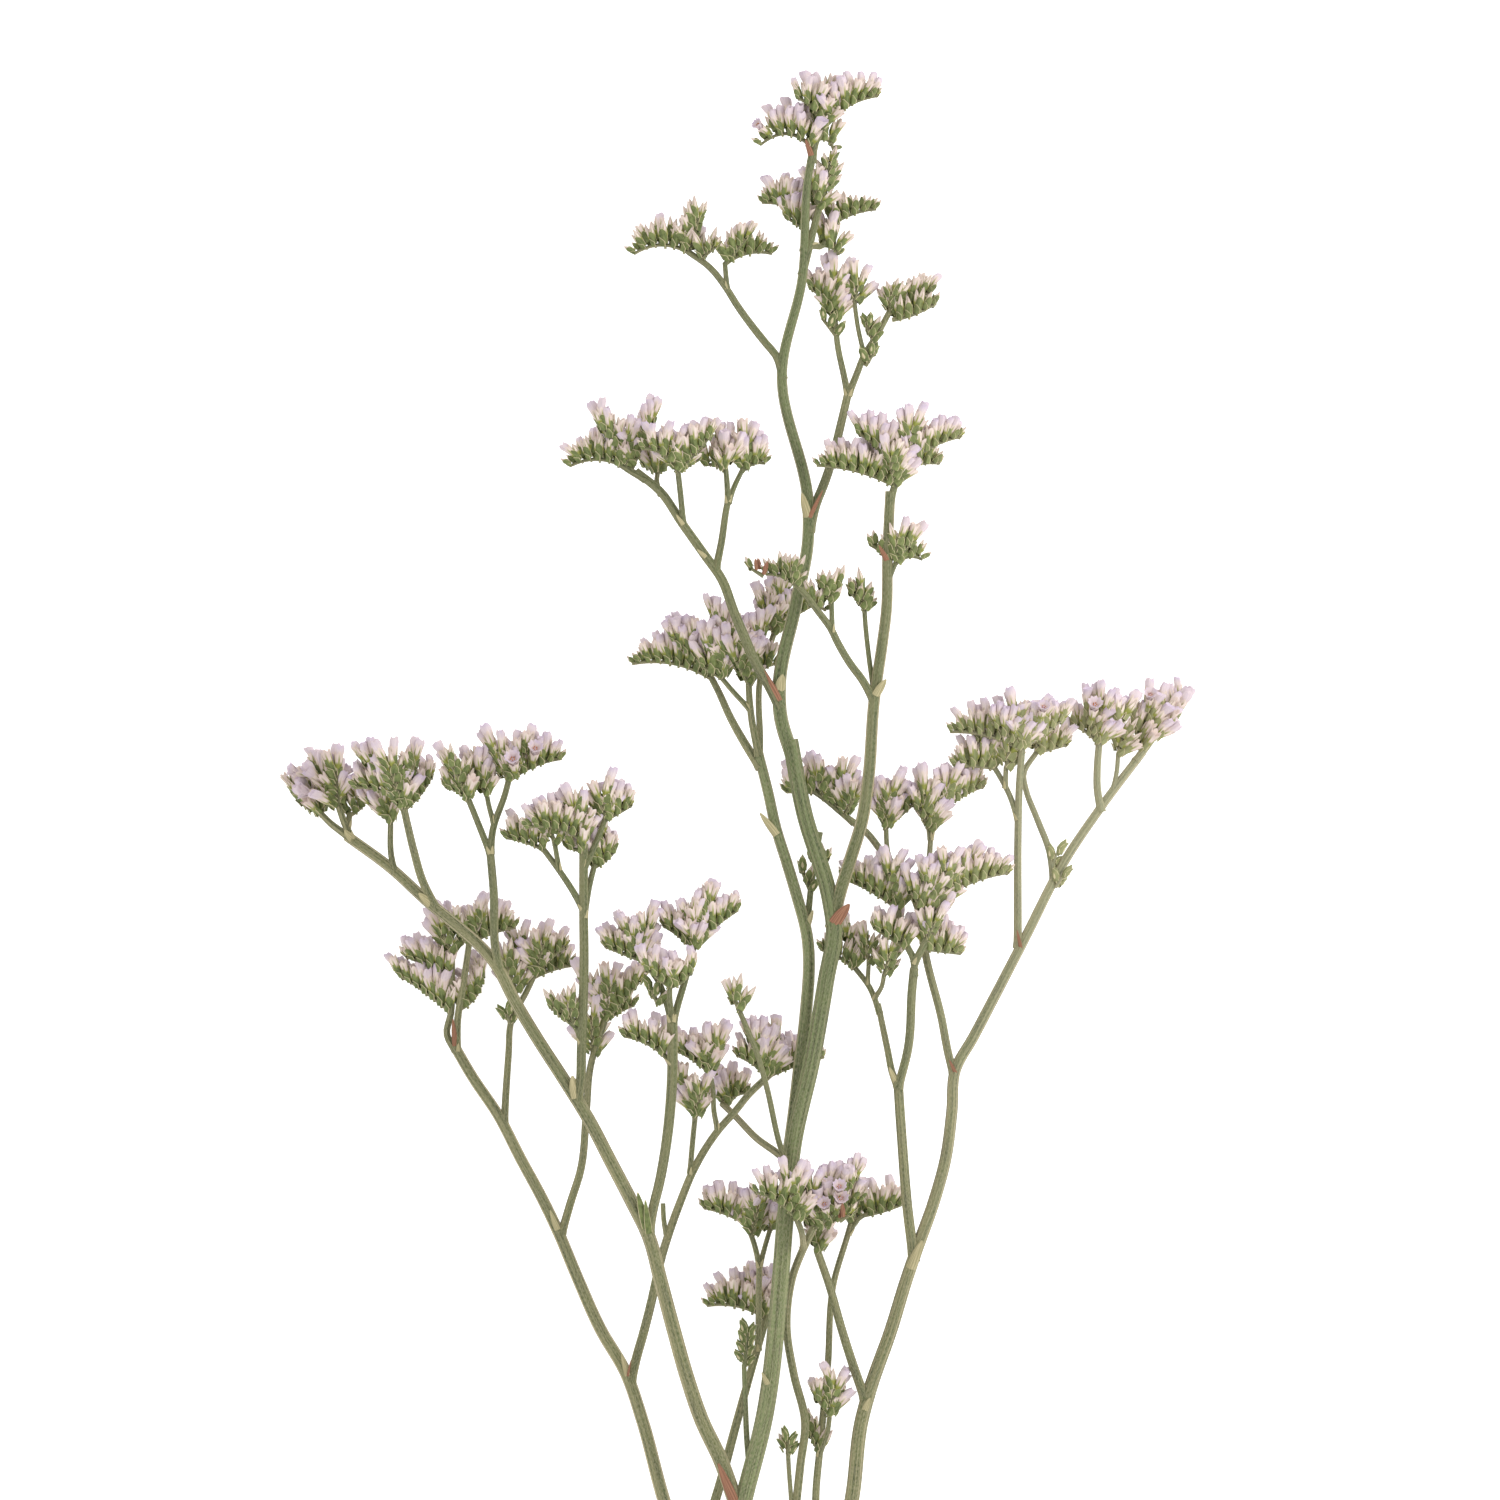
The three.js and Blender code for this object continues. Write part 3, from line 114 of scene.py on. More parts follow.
def smooth(spots, step):
    """Points about a step apart on a smooth curve through spots."""
    runs = [after - before for before, after in zip(spots, spots[1:])]
    slopes = [runs[0].normalized()]
    for before, after in zip(runs, runs[1:]):
        slope = before.normalized() * after.length + after.normalized() * before.length
        slopes.append(slope.normalized())
    slopes.append(runs[-1].normalized())
    curve = [spots[0]]
    for i, run in enumerate(runs):
        pull = run.length / 3
        count = max(2, round(run.length / step)) + 1
        ends = (spots[i], spots[i] + slopes[i] * pull, spots[i + 1] - slopes[i + 1] * pull, spots[i + 1])
        curve += interpolate_bezier(*ends, count)[1:]
    return curve


def directions(curve, i, up):
    """Tangent, normal and side of a curve at its point i. The normal leans to up."""
    tangent = (curve[min(i + 1, len(curve) - 1)] - curve[max(i - 1, 0)]).normalized()
    normal = (up - tangent * up.dot(tangent)).normalized()
    return tangent, normal, tangent.cross(normal)


def tube(name, curve, radius, ribs, material):
    """A ribbed tube along a curve, with radius(length along it) and both ends closed flat."""
    lengths = [0.0]
    for before, after in zip(curve, curve[1:]):
        lengths.append(lengths[-1] + (after - before).length)
    places = [directions(curve, i, UP) for i in range(len(curve))]
    rows = len(curve) + 1

    def rule(u, v):
        ring = round(v * rows)
        i = min(max(ring - 1, 0), len(curve) - 1)
        if ring in (0, rows):
            return curve[i]
        angle = 2 * math.pi * u
        reach = radius(lengths[i]) * (1 + RIB_DEPTH * math.cos(ribs * angle))
        _, normal, side = places[i]
        return curve[i] + (normal * math.cos(angle) + side * math.sin(angle)) * reach

    made = sheet(name, 2 * ribs, rows, rule)
    girth = 2 * math.pi * radius(lengths[-1] / 2)
    for corner in made.data.uv_layers.active.uv:
        corner.vector = (corner.vector.x * girth, corner.vector.y * lengths[-1])
    made.data.materials.append(material)
    return seal(made)


# Centre, direction and radius all along the stems of the piece that is being made, for its scales.
rings = []


def stem(root, tip, *points):
    """A stem or twig from its radii at the root and the tip and the points of its route."""
    spots = route(points)
    curve = smooth(spots, RING_STEP)
    whole = sum((after - before).length for before, after in zip(curve, curve[1:]))

    def radius(length):
        flare = ROOT_FLARE * tip * math.exp(-length / FLARE_LENGTH)
        return root + (tip - root) * length / whole + flare

    for i, spot in enumerate(curve):
        rings.append((spot, directions(curve, i, UP)[0], radius(whole * i / len(curve))))
    ribs = max(FEWEST_RIBS, round(2 * math.pi * root / RIB_WIDTH))
    return tube("stem", curve, radius, ribs, stem_green)


def settle(piece, node):
    """Sets a finished piece, drawn in millimetres on the grid, into the frame in place of its node."""
    piece.data.transform(Matrix.Scale(MM, 4) @ Matrix.Translation(-MIDDLE))
    bpy.ops.object.select_all(action="DESELECT")
    piece.select_set(True)
    bpy.context.view_layer.objects.active = piece
    bpy.ops.object.shade_smooth_by_angle(angle=SMOOTH_ANGLE)
    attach(piece, "root")
    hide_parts(node)


def node_group(name, inputs):
    """An empty shader node group with named number inputs that puts out a mask: its tree and end nodes."""
    group = bpy.data.node_groups.new(name, "ShaderNodeTree")
    for label, value in inputs.items():
        socket = group.interface.new_socket(label, in_out="INPUT", socket_type="NodeSocketFloat")
        socket.default_value = value
    group.interface.new_socket("Mask", in_out="OUTPUT", socket_type="NodeSocketFloat")
    return group, group.nodes.new("NodeGroupInput"), group.nodes.new("NodeGroupOutput")


def add(tree, kind, **settings):
    """A new node with its properties and its inputs' values set by name."""
    node = tree.nodes.new("ShaderNode" + kind)
    for name, value in settings.items():
        if hasattr(node, name):
            setattr(node, name, value)
        else:
            node.inputs[name.replace("_", " ")].default_value = value
    return node


def calculate(tree, operation, first, second=0.0):
    """A maths node on two values, each a number or an output: returns its result."""
    node = add(tree, "Math", operation=operation)
    for socket, value in zip(node.inputs, (first, second)):
        if isinstance(value, (int, float)):
            socket.default_value = value
        else:
            tree.links.new(value, socket)
    return node.outputs[0]


MIX_COLOURS = (6, 7)
MIXED_COLOUR = 2


def blend(tree, factor, first, second, share=1.0):
    """Mixes two colours, each a code or an output, by a share of an output: returns the mixed colour."""
    if share < 1:
        factor = calculate(tree, "MULTIPLY", factor, share)
    mix = add(tree, "Mix", data_type="RGBA")
    tree.links.new(factor, mix.inputs["Factor"])
    for socket, value in zip(MIX_COLOURS, (first, second)):
        if isinstance(value, str):
            mix.inputs[socket].default_value = colour(value)
        else:
            tree.links.new(value, mix.inputs[socket])
    return mix.outputs[MIXED_COLOUR]


def fade(tree, value, start, end):
    """Rises smoothly from 0 where the value is start to 1 where it is end."""
    node = add(tree, "MapRange", interpolation_type="SMOOTHSTEP", From_Min=start, From_Max=end)
    tree.links.new(value, node.inputs["Value"])
    return node.outputs["Result"]


def place(tree, kind, axis):
    """Where a point is along one axis of the object or of its UV map."""
    split = add(tree, "SeparateXYZ")
    tree.links.new(add(tree, "TexCoord").outputs[kind], split.inputs[0])
    return split.outputs[axis]


# Patches of tone, from one floret or stretch of stem to the next, and finer ones within it.
patches, given, result = node_group("patches", {"Size mm": 3.0, "Softness": 0.2})
noise = add(patches, "TexNoise", Detail=3.0, Roughness=0.6)
patches.links.new(add(patches, "TexCoord").outputs["Object"], noise.inputs["Vector"])
patches.links.new(calculate(patches, "DIVIDE", 1 / MM, given.outputs["Size mm"]), noise.inputs["Scale"])
spread = add(patches, "MapRange", interpolation_type="SMOOTHSTEP")
patches.links.new(noise.outputs["Fac"], spread.inputs["Value"])
patches.links.new(calculate(patches, "SUBTRACT", 0.5, given.outputs["Softness"]), spread.inputs["From Min"])
patches.links.new(calculate(patches, "ADD", 0.5, given.outputs["Softness"]), spread.inputs["From Max"])
patches.links.new(spread.outputs["Result"], result.inputs["Mask"])

# Fine lines that run along a stem, bract or petal, from its UV map.
LINE_EDGES = (0.35, 0.65)
fibres, given, result = node_group("fibres", {"Across": 8.0, "Along": 0.3})
join = add(fibres, "CombineXYZ")
for axis, rate in (("X", "Across"), ("Y", "Along")):
    stretched = calculate(fibres, "MULTIPLY", place(fibres, "UV", axis), given.outputs[rate])
    fibres.links.new(stretched, join.inputs[axis])
noise = add(fibres, "TexNoise", Scale=1.0, Detail=2.0)
fibres.links.new(join.outputs[0], noise.inputs["Vector"])
fibres.links.new(fade(fibres, noise.outputs["Fac"], *LINE_EDGES), result.inputs["Mask"])

# Painted light on the plant's right side: paler colour for brighter light there, from nothing at its middle
# to the full at its right edge.
RIGHT_LIGHT_EDGES = (0.03, 0.09)
right_light, _, result = node_group("right_light", {})
right_light.links.new(fade(right_light, place(right_light, "Object", "X"), *RIGHT_LIGHT_EDGES), result.inputs["Mask"])


def masked(tree, group, **values):
    """The mask of a shared node group placed in a material with its own values."""
    node = add(tree, "Group", node_tree=group)
    for name, value in values.items():
        node.inputs[name.replace("_", " ")].default_value = value
    return node.outputs["Mask"]


GLOSS = 0.25


def surface(name, roughness):
    """A new material: its tree and its shader."""
    made = bpy.data.materials.new(name)
    made.use_nodes = True
    shader = made.node_tree.nodes["Principled BSDF"]
    shader.inputs["Roughness"].default_value = roughness
    shader.inputs["Specular IOR Level"].default_value = GLOSS
    return made, made.node_tree, shader


RIB_TONE = 0.85
FLECK_TONE = 0.4
HEIGHT_SHADE_EDGES = (0.034, 0.043)
HEIGHT_SHADE_TONE = 0.3
RIGHT_LIGHT_TONE = 0.32
RIB_HEIGHT = 0.16 * MM


def stem_skin(name, rib, bloom):
    """The skin of a stem: dull green, with paler ribs, flecks and a soft bloom, painted shade that darkens it
    high above the floor and painted light that pales it towards the plant's right edge.
    """
    made, tree, shader = surface(name, roughness=0.65)
    shader.inputs["Sheen Weight"].default_value = bloom
    shader.inputs["Sheen Tint"].default_value = colour("e6cfae")
    ribs = masked(tree, fibres, Across=1.6, Along=0.03)
    tone = blend(tree, masked(tree, patches, Size_mm=6.0), "37432a", "4f5a35")
    tone = blend(tree, ribs, tone, rib, RIB_TONE)
    tone = blend(tree, masked(tree, fibres, Across=4.0, Along=1.2), tone, "a59e81", FLECK_TONE)
    # Painted shade: darker green high above the floor, against the lamp's brighter light up there.
    tone = blend(tree, fade(tree, place(tree, "Object", "Z"), *HEIGHT_SHADE_EDGES), tone, "3a4a27", HEIGHT_SHADE_TONE)
    # Painted light: paler towards the plant's right edge.
    tone = blend(tree, masked(tree, right_light), tone, "a8a58c", RIGHT_LIGHT_TONE)
    tree.links.new(tone, shader.inputs["Base Color"])
    bump = add(tree, "Bump", Strength=0.6, Distance=RIB_HEIGHT)
    tree.links.new(ribs, bump.inputs["Height"])
    tree.links.new(bump.outputs["Normal"], shader.inputs["Normal"])
    return made


stem_green = stem_skin("stem_green", "7c7b57", 0.8)
main_green = stem_skin("main_green", "737f55", 0.5)

# ---- Scales --------------------------------------------------------------------------------------
# The dry papery scales that clasp the stems at their joints: pointed, hollowed leaves. Some are
# red-brown and some are pale.
scale_brown, tree, shader = surface("scale_brown", roughness=0.7)
tone = blend(tree, masked(tree, fibres, Across=14.0, Along=1.0), "735040", "9c7259")
tree.links.new(tone, shader.inputs["Base Color"])
scale_pale, tree, shader = surface("scale_pale", roughness=0.75)
tone = blend(tree, masked(tree, fibres, Across=14.0, Along=1.0), "8a8562", "b9ad88")
tree.links.new(tone, shader.inputs["Base Color"])

PAPER = 0.1
TIP_END = 0.97
FULLNESS = 0.75
SCALE_BASE = 0.42
SCALE_OPENING = 0.2
SCALE_BREADTH = 1.8
ALONG_STEM = 0.2
TO_THE_SIDE = 0.5
FORK_SCALE = 2.1
FORK_BREADTH = 0.9


def thicken(piece, thickness):
    """Gives a sheet a wall, grown inwards, and closes its rim."""
    wall = piece.modifiers.new("wall", "SOLIDIFY")
    wall.thickness = thickness
    wall.offset = -1
    bpy.ops.object.select_all(action="DESELECT")
    piece.select_set(True)
    bpy.context.view_layer.objects.active = piece
    bpy.ops.object.modifier_apply(modifier=wall.name)
    return piece


def leaf(name, length, width, wrap, opening, base, material, columns=4, rows=4):
    """A pointed bract whose sides wrap round a stem of radius wrap and that opens out at its tip."""

    def rule(u, v):
        across = (2 * u - 1) * width / 2 * math.sin(math.pi * (base + (TIP_END - base) * v)) ** FULLNESS
        radius = wrap + opening * v * v
        angle = across / radius
        return Vector((radius * math.sin(angle), length * v, radius * math.cos(angle)))

    made = sheet(name, columns, rows, rule)
    made.data.materials.append(material)
    return thicken(made, PAPER)


def aimed(start, ahead, outward, size=1.0):
    """The matrix that stands a part made along +Y with its face to +Z at start, pointing ahead."""
    ahead = ahead.normalized()
    face = (outward - ahead * outward.dot(ahead)).normalized()
    turn = Matrix((ahead.cross(face), ahead, face)).transposed().to_4x4()
    return Matrix.Translation(start) @ turn @ Matrix.Scale(size, 4)


def scale(foot, point, material, breadth=SCALE_BREADTH):
    """A scale that clasps the stem nearest to its foot, on the side seen from above, and points ahead."""
    reach = Vector(point) - Vector(foot)
    centre, tangent, radius = min(rings, key=lambda ring: (ring[0] - Vector(foot)).length)
    across = reach - tangent * reach.dot(tangent)
    made = leaf("scale", reach.length, radius * breadth, wrap=radius + PAPER, opening=SCALE_OPENING,
                base=SCALE_BASE, material=material, columns=6, rows=5)
    ahead = tangent * ALONG_STEM + reach / reach.length
    made.data.transform(aimed(centre, ahead, across.normalized() * TO_THE_SIDE + UP))
    return made


def fork_scales(stems):
    """A small pale scale at the foot of each side twig."""
    made = []
    for data in stems[1:]:
        foot, ahead = route(data[2:])[:2]
        made.append(scale(foot, foot + (ahead - foot).normalized() * FORK_SCALE, scale_pale, FORK_BREADTH))
    return made


# ---- Florets -------------------------------------------------------------------------------------
# A spikelet is one or two florets in dark green bracts with a pale edge. A floret's calyx is a pleated
# funnel, green-ribbed below and papery above, and its corolla stands out of it. Each kind of spikelet
# is made once here and copied into the spikes.
FOLDS = 5
MARGIN_EDGES = (0.09, 0.03)
TIP_MARGIN = 1.6
RIB_EDGES = (0.2, 0.95)
RIB_ENDS = (0.8, 0.5)
FOOT_ENDS = (0.52, 0.38)
PETAL_EDGES = (0.36, 0.8)

bract_green, tree, shader = surface("bract_green", roughness=0.6)
from_middle = calculate(tree, "ABSOLUTE", calculate(tree, "SUBTRACT", place(tree, "UV", "X"), 0.5))
to_side = calculate(tree, "SUBTRACT", 0.5, from_middle)
to_tip = calculate(tree, "MULTIPLY", calculate(tree, "SUBTRACT", 1.0, place(tree, "UV", "Y")), TIP_MARGIN)
margin = fade(tree, calculate(tree, "MINIMUM", to_side, to_tip), *MARGIN_EDGES)
tone = blend(tree, masked(tree, patches, Size_mm=1.6), "4a552f", "717b49")
tone = blend(tree, masked(tree, fibres, Across=9.0, Along=0.8), tone, "858a5f", share=0.35)
# Painted light: paler towards the plant's right edge.
tone = blend(tree, masked(tree, right_light), tone, "a8a27c", share=0.4)
tree.links.new(blend(tree, margin, tone, "bdb28e"), shader.inputs["Base Color"])

calyx_paper, tree, shader = surface("calyx_paper", roughness=0.75)
turns = calculate(tree, "MULTIPLY", place(tree, "UV", "X"), 2 * FOLDS * math.pi)
rib = fade(tree, calculate(tree, "COSINE", turns), *RIB_EDGES)
low = fade(tree, place(tree, "UV", "Y"), *RIB_ENDS)
foot = fade(tree, place(tree, "UV", "Y"), *FOOT_ENDS)
green = calculate(tree, "MAXIMUM", calculate(tree, "MULTIPLY", rib, low), foot)
paper = blend(tree, masked(tree, patches, Size_mm=3.0), "ddcec5", "cdbbb4")
paper = blend(tree, masked(tree, fibres, Across=30.0, Along=1.0), paper, "bba697", share=0.35)
tree.links.new(blend(tree, green, paper, "868a46"), shader.inputs["Base Color"])

petal_lilac, tree, shader = surface("petal_lilac", roughness=0.7)
tone = blend(tree, fade(tree, place(tree, "UV", "Y"), *PETAL_EDGES), "d9cbc4", "bfb0c0")
tone = blend(tree, masked(tree, patches, Size_mm=3.5, Softness=0.12), tone, "cdbec0")
tone = blend(tree, masked(tree, fibres, Across=24.0, Along=1.2), tone, "ac9aab", share=0.3)
tree.links.new(tone, shader.inputs["Base Color"])

anther_orange, tree, shader = surface("anther_orange", roughness=0.6)
tone = blend(tree, masked(tree, patches, Size_mm=0.6), "a85f2c", "c98749")
tree.links.new(tone, shader.inputs["Base Color"])


def rolled(name, columns, profile, wave, material, bow=0.0):
    """A closed body of turning from pairs of height and radius, with a waved wall and bowed to a side."""
    rows = len(profile) - 1

    def rule(u, v):
        height, radius = profile[round(v * rows)]
        angle = 2 * math.pi * u
        rise, swell = wave(angle, v)
        reach = radius * (1 + swell)
        aside = bow * max(0, 2 * height / profile[-1][0] - 1) ** 2
        level = height + rise * (radius > 0)
        return Vector((reach * math.sin(angle) + aside, level, reach * math.cos(angle)))

    made = sheet(name, columns, rows, rule)
    made.data.materials.append(material)
    return seal(made)


STALK = [(-1.4, 0), (-1.4, 0.3), (0.6, 0.35), (0.6, 0)]
BRACT_BASE = 0.24
OUTER_BASE = 0.3
BACK_TURN = Matrix.Rotation(math.radians(165), 4, "Y")
OUTER_TURN = Matrix.Rotation(math.radians(-35), 4, "Y")
FRONT_FOOT = Matrix.Translation((0, 0, 0.1))
OUTER_FOOT = Matrix.Translation((0, -0.6, 0.25))


def bracts(length, width):
    """The stalk and bracts of a spikelet: a broad one in front, one behind it and a short one below."""
    stalk = rolled("stalk", 4, STALK, smooth_wall, bract_green)
    front = leaf("front", length, width, wrap=0.98, opening=0.3, base=BRACT_BASE, material=bract_green)
    front.data.transform(FRONT_FOOT)
    back = leaf("back", length * 0.92, width, wrap=0.95, opening=0.4, base=BRACT_BASE,
                material=bract_green, columns=3, rows=3)
    back.data.transform(BACK_TURN)
    outer = leaf("outer", length * 0.6, width * 0.8, wrap=1.12, opening=0.2, base=OUTER_BASE,
                 material=bract_green, columns=2, rows=2)
    outer.data.transform(OUTER_FOOT @ OUTER_TURN)
    return [stalk, front, back, outer]


def smooth_wall(angle, share):
    """The wave of a body of turning that has none: no rise and no swelling."""
    return 0, 0


def pleats(angle, share):
    """The wave of a closed calyx: folds, each drawn up into a point."""
    fold = math.cos(FOLDS * angle)
    return 0.4 * fold * (0.7 < share < 0.9), 0.12 * fold


def scallops(angle, share):
    """The wave of an open calyx: folds, each with a rounded lobe at the rim."""
    lobe = abs(math.cos(FOLDS / 2 * angle))
    return 0.8 * (lobe - 0.5) * (0.7 < share < 0.9), 0.16 * (lobe - 0.6)


def folds(angle, share):
    """The wave of a rolled-up corolla: folds of two kinds that grow to its end."""
    swell = 0.08 * math.cos(4 * angle) + 0.1 * math.cos(2 * angle + 1)
    return 0.35 * math.cos(3 * angle + 1) * share, swell


def lobes(angle, share):
    """The wave of a half-open corolla: rounded lobes."""
    lobe = abs(math.cos(FOLDS / 2 * angle))
    return 0.7 * (lobe - 0.6) * max(0, share - 0.35), 0.1 * (lobe - 0.5)


def calyx(top, rim):
    """An open calyx: a pleated funnel with a lobed rim."""
    profile = [(0.3, 0), (0.3, 0.5), (top * 0.45, 0.9), (top * 0.75, (1 + rim) / 2), (top, rim),
               (top * 0.7, 0)]
    return rolled("calyx", 20, profile, scallops, calyx_paper)


def cone(top):
    """A calyx that is still closed: a pleated cone."""
    profile = [(0.3, 0), (0.3, 0.5), (top * 0.45, 0.9), (top * 0.75, 0.62), (top, 0.08), (top, 0)]
    return rolled("calyx", 10, profile, pleats, calyx_paper)


def club(top, width, bow=0.0):
    """A rolled-up corolla: a rounded, folded club that stands out of the calyx."""
    profile = [(3.4, 0), (3.6, 0.7), (top * 0.7, width * 0.9), (top * 0.87, width), (top, width * 0.78),
               (top * 0.93, 0)]
    return rolled("corolla", 10, profile, folds, petal_lilac, bow)


def cup(top, width):
    """A half-open corolla: a funnel with rounded, overlapping lobes."""
    profile = [(3.4, 0), (3.6, 0.6), (top * 0.68, 1.0), (top * 0.86, width * 0.94), (top, width),
               (top * 0.84, 0)]
    return rolled("corolla", 15, profile, lobes, petal_lilac, 0.4)


PETAL_START = 0.5
PETAL_FOOT = 0.4
PETAL_SWELL = 0.65
PETAL_FROM = 0.25
PETAL_TO = 0.85
NOTCH = 0.3
CURL = 1.4
CURL_RISE = 1.9
HOLLOW = 0.3
ANTHER = 0.2
ANTHER_SHAPE = Matrix.Diagonal((0.8, 1.6, 0.8, 1))
ANTHER_RING = 0.45
ANTHER_RISE = 0.55


def petals(top, reach):
    """An open corolla: a short tube and notched petals that curl out of it, with anthers between them."""

    def rule(u, v):
        side = 2 * u - 1
        half = PETAL_FOOT + PETAL_SWELL * math.sin(math.pi * (PETAL_FROM + (PETAL_TO - PETAL_FROM) * v))
        notch = NOTCH * v * v * (1 - abs(side))
        out = PETAL_START + (reach - PETAL_START) * (v - notch / 2)
        rise = top - PETAL_START + CURL_RISE * math.sin(CURL * v) + HOLLOW * side * side * v
        return Vector((half * side, rise, out))

    parts = [rolled("tube", 10, [(3.2, 0), (3.4, 0.5), (top, 0.75), (top, 0)], smooth_wall, petal_lilac)]
    for k in range(FOLDS):
        petal = sheet("petal", 2, 3, rule)
        petal.data.materials.append(petal_lilac)
        petal.data.transform(Matrix.Rotation(2 * math.pi * k / FOLDS, 4, "Y"))
        parts.append(thicken(petal, PAPER))
    for k in range(FOLDS):
        bpy.ops.object.select_all(action="DESELECT")
        bpy.ops.mesh.primitive_uv_sphere_add(segments=5, ring_count=4, radius=ANTHER)
        anther = bpy.context.object
        angle = 2 * math.pi * (k + 0.5) / FOLDS
        spot = (ANTHER_RING * math.sin(angle), top + ANTHER_RISE, ANTHER_RING * math.cos(angle))
        anther.data.transform(Matrix.Translation(spot) @ ANTHER_SHAPE)
        anther.data.materials.append(anther_orange)
        parts.append(anther)
    return parts


def floret(*parts, lean=0.0, turn=0.0):
    """Joins a calyx and its corolla and leans them to one side of the spikelet."""
    made = gather("floret", list(parts))
    tilt = Matrix.Rotation(math.radians(lean), 4, "Z") @ Matrix.Rotation(math.radians(turn), 4, "X")
    made.data.transform(tilt)
    return made


def spikelet(name, *parts):
    """Joins bracts and florets into a template that isn't shown itself."""
    made = gather(name, list(parts))
    for collection in made.users_collection:
        collection.objects.unlink(made)
    return made


LONG = 3.9
BROAD = 3.5
TALL = spikelet("tall", *bracts(LONG, BROAD), floret(calyx(5.6, 1.2), club(8.0, 1.3, 0.5), lean=-4),
                floret(cone(5.2), lean=15, turn=5))
LOW = spikelet("low", *bracts(LONG, BROAD), floret(calyx(5.5, 1.2), club(7.2, 1.25, -0.4), lean=6, turn=4),
               floret(cone(5.2), lean=-14, turn=-5))
PAIR = spikelet("pair", *bracts(LONG, BROAD),
                floret(calyx(5.5, 1.1), club(7.8, 1.25, -0.3), lean=-12, turn=-4),
                floret(calyx(5.2, 1.1), club(7.0, 1.15, 0.6), lean=13, turn=6))
FADED = spikelet("faded", *bracts(LONG, BROAD), floret(calyx(5.9, 1.3), lean=-6, turn=4),
                 floret(cone(5.4), lean=13, turn=-5))
HALF = spikelet("half", *bracts(LONG, BROAD), floret(calyx(5.6, 1.2), cup(7.6, 1.5), lean=5),
                floret(cone(5.2), lean=-15, turn=6))
WIDE = spikelet("wide", *bracts(LONG, BROAD), floret(calyx(5.2, 1.2), *petals(6.0, 1.9), turn=34))
TIGHT = spikelet("tight", *bracts(3.8, 3.2), floret(cone(6.0), lean=-6, turn=4),
                 floret(cone(5.2), lean=11, turn=-4))
BARE = spikelet("bare", *bracts(LONG, BROAD), floret(cone(4.9), lean=3))
BUD = spikelet("bud", *bracts(3.2, 2.7), floret(cone(4.1)))
GREEN_BUD = [(-0.6, 0), (-0.6, 0.4), (1.2, 1.1), (2.6, 0.85), (3.9, 0.1), (3.9, 0)]
SMALL = spikelet("small", leaf("front", 3.4, 3.0, 0.95, 0.05, BRACT_BASE, bract_green, columns=3),
                 rolled("bud", 6, GREEN_BUD, smooth_wall, bract_green))
CURLED = spikelet("curled", leaf("curl", 3.6, 1.5, 0.5, 0.9, OUTER_BASE, scale_brown, columns=2),
                  leaf("curl", 2.8, 1.2, 0.4, -0.1, OUTER_BASE, scale_brown, columns=2))

# ---- Spikes --------------------------------------------------------------------------------------
# A one-sided flower spike: a thin arched axis with two rows of spikelets on its upper side, smaller and
# further forward to its tip, which ends in buds. Its habit is what its back and its front row may bear.
FLOWERING = ((TALL, TALL, PAIR, PAIR, PAIR, HALF, LOW), (PAIR, LOW, FADED, FADED, FADED, TALL, TIGHT))
OPEN = ((HALF, PAIR, TALL), (WIDE, HALF, PAIR, LOW))
PALE = ((FADED, TIGHT, LOW), (TIGHT, TIGHT, FADED))
YOUNG = ((TIGHT, BUD), (BUD, BUD, TIGHT))
GREEN = ((SMALL,), (SMALL, SMALL, SMALL, BUD))
BACKS = ((TALL, PAIR, PAIR, HALF), (BARE, BARE, FADED, TIGHT))
DRIED = ((CURLED,), (CURLED,))
PITCH = 1.2
FIRST = 0.08
LAST = 0.97
TIP_SHRINK = 0.4
FULL_UNTIL = 0.55
BUD_FROM = 0.6
LEAN_PER_MM = 0.003
FACE_UP = -0.35
OUTWARD = 0.45
UPWARD = 0.7
FAN = 1.35
BACKWARD = 0.22
FOOT = 0.5
BACK_RISE = 1.3
ROW_ANGLE = math.radians(34)
FACE_BACK = 0.35
UPRIGHT_FACE_BACK = 0.5
FACE_DOWN = 0.2
AXIS_ROOT = 0.65
AXIS_TIP = 0.4
JITTER = 0.09
UNEVEN = 0.1
MIXED_ROWS = 0.4
SEED = 7
rng = random.Random(SEED)


def copied(template, matrix):
    """A copy of a finished part with a mesh of its own, set down by a matrix."""
    made = template.copy()
    made.data = template.data.copy()
    made.data.transform(matrix)
    bpy.context.scene.collection.objects.link(made)
    return made


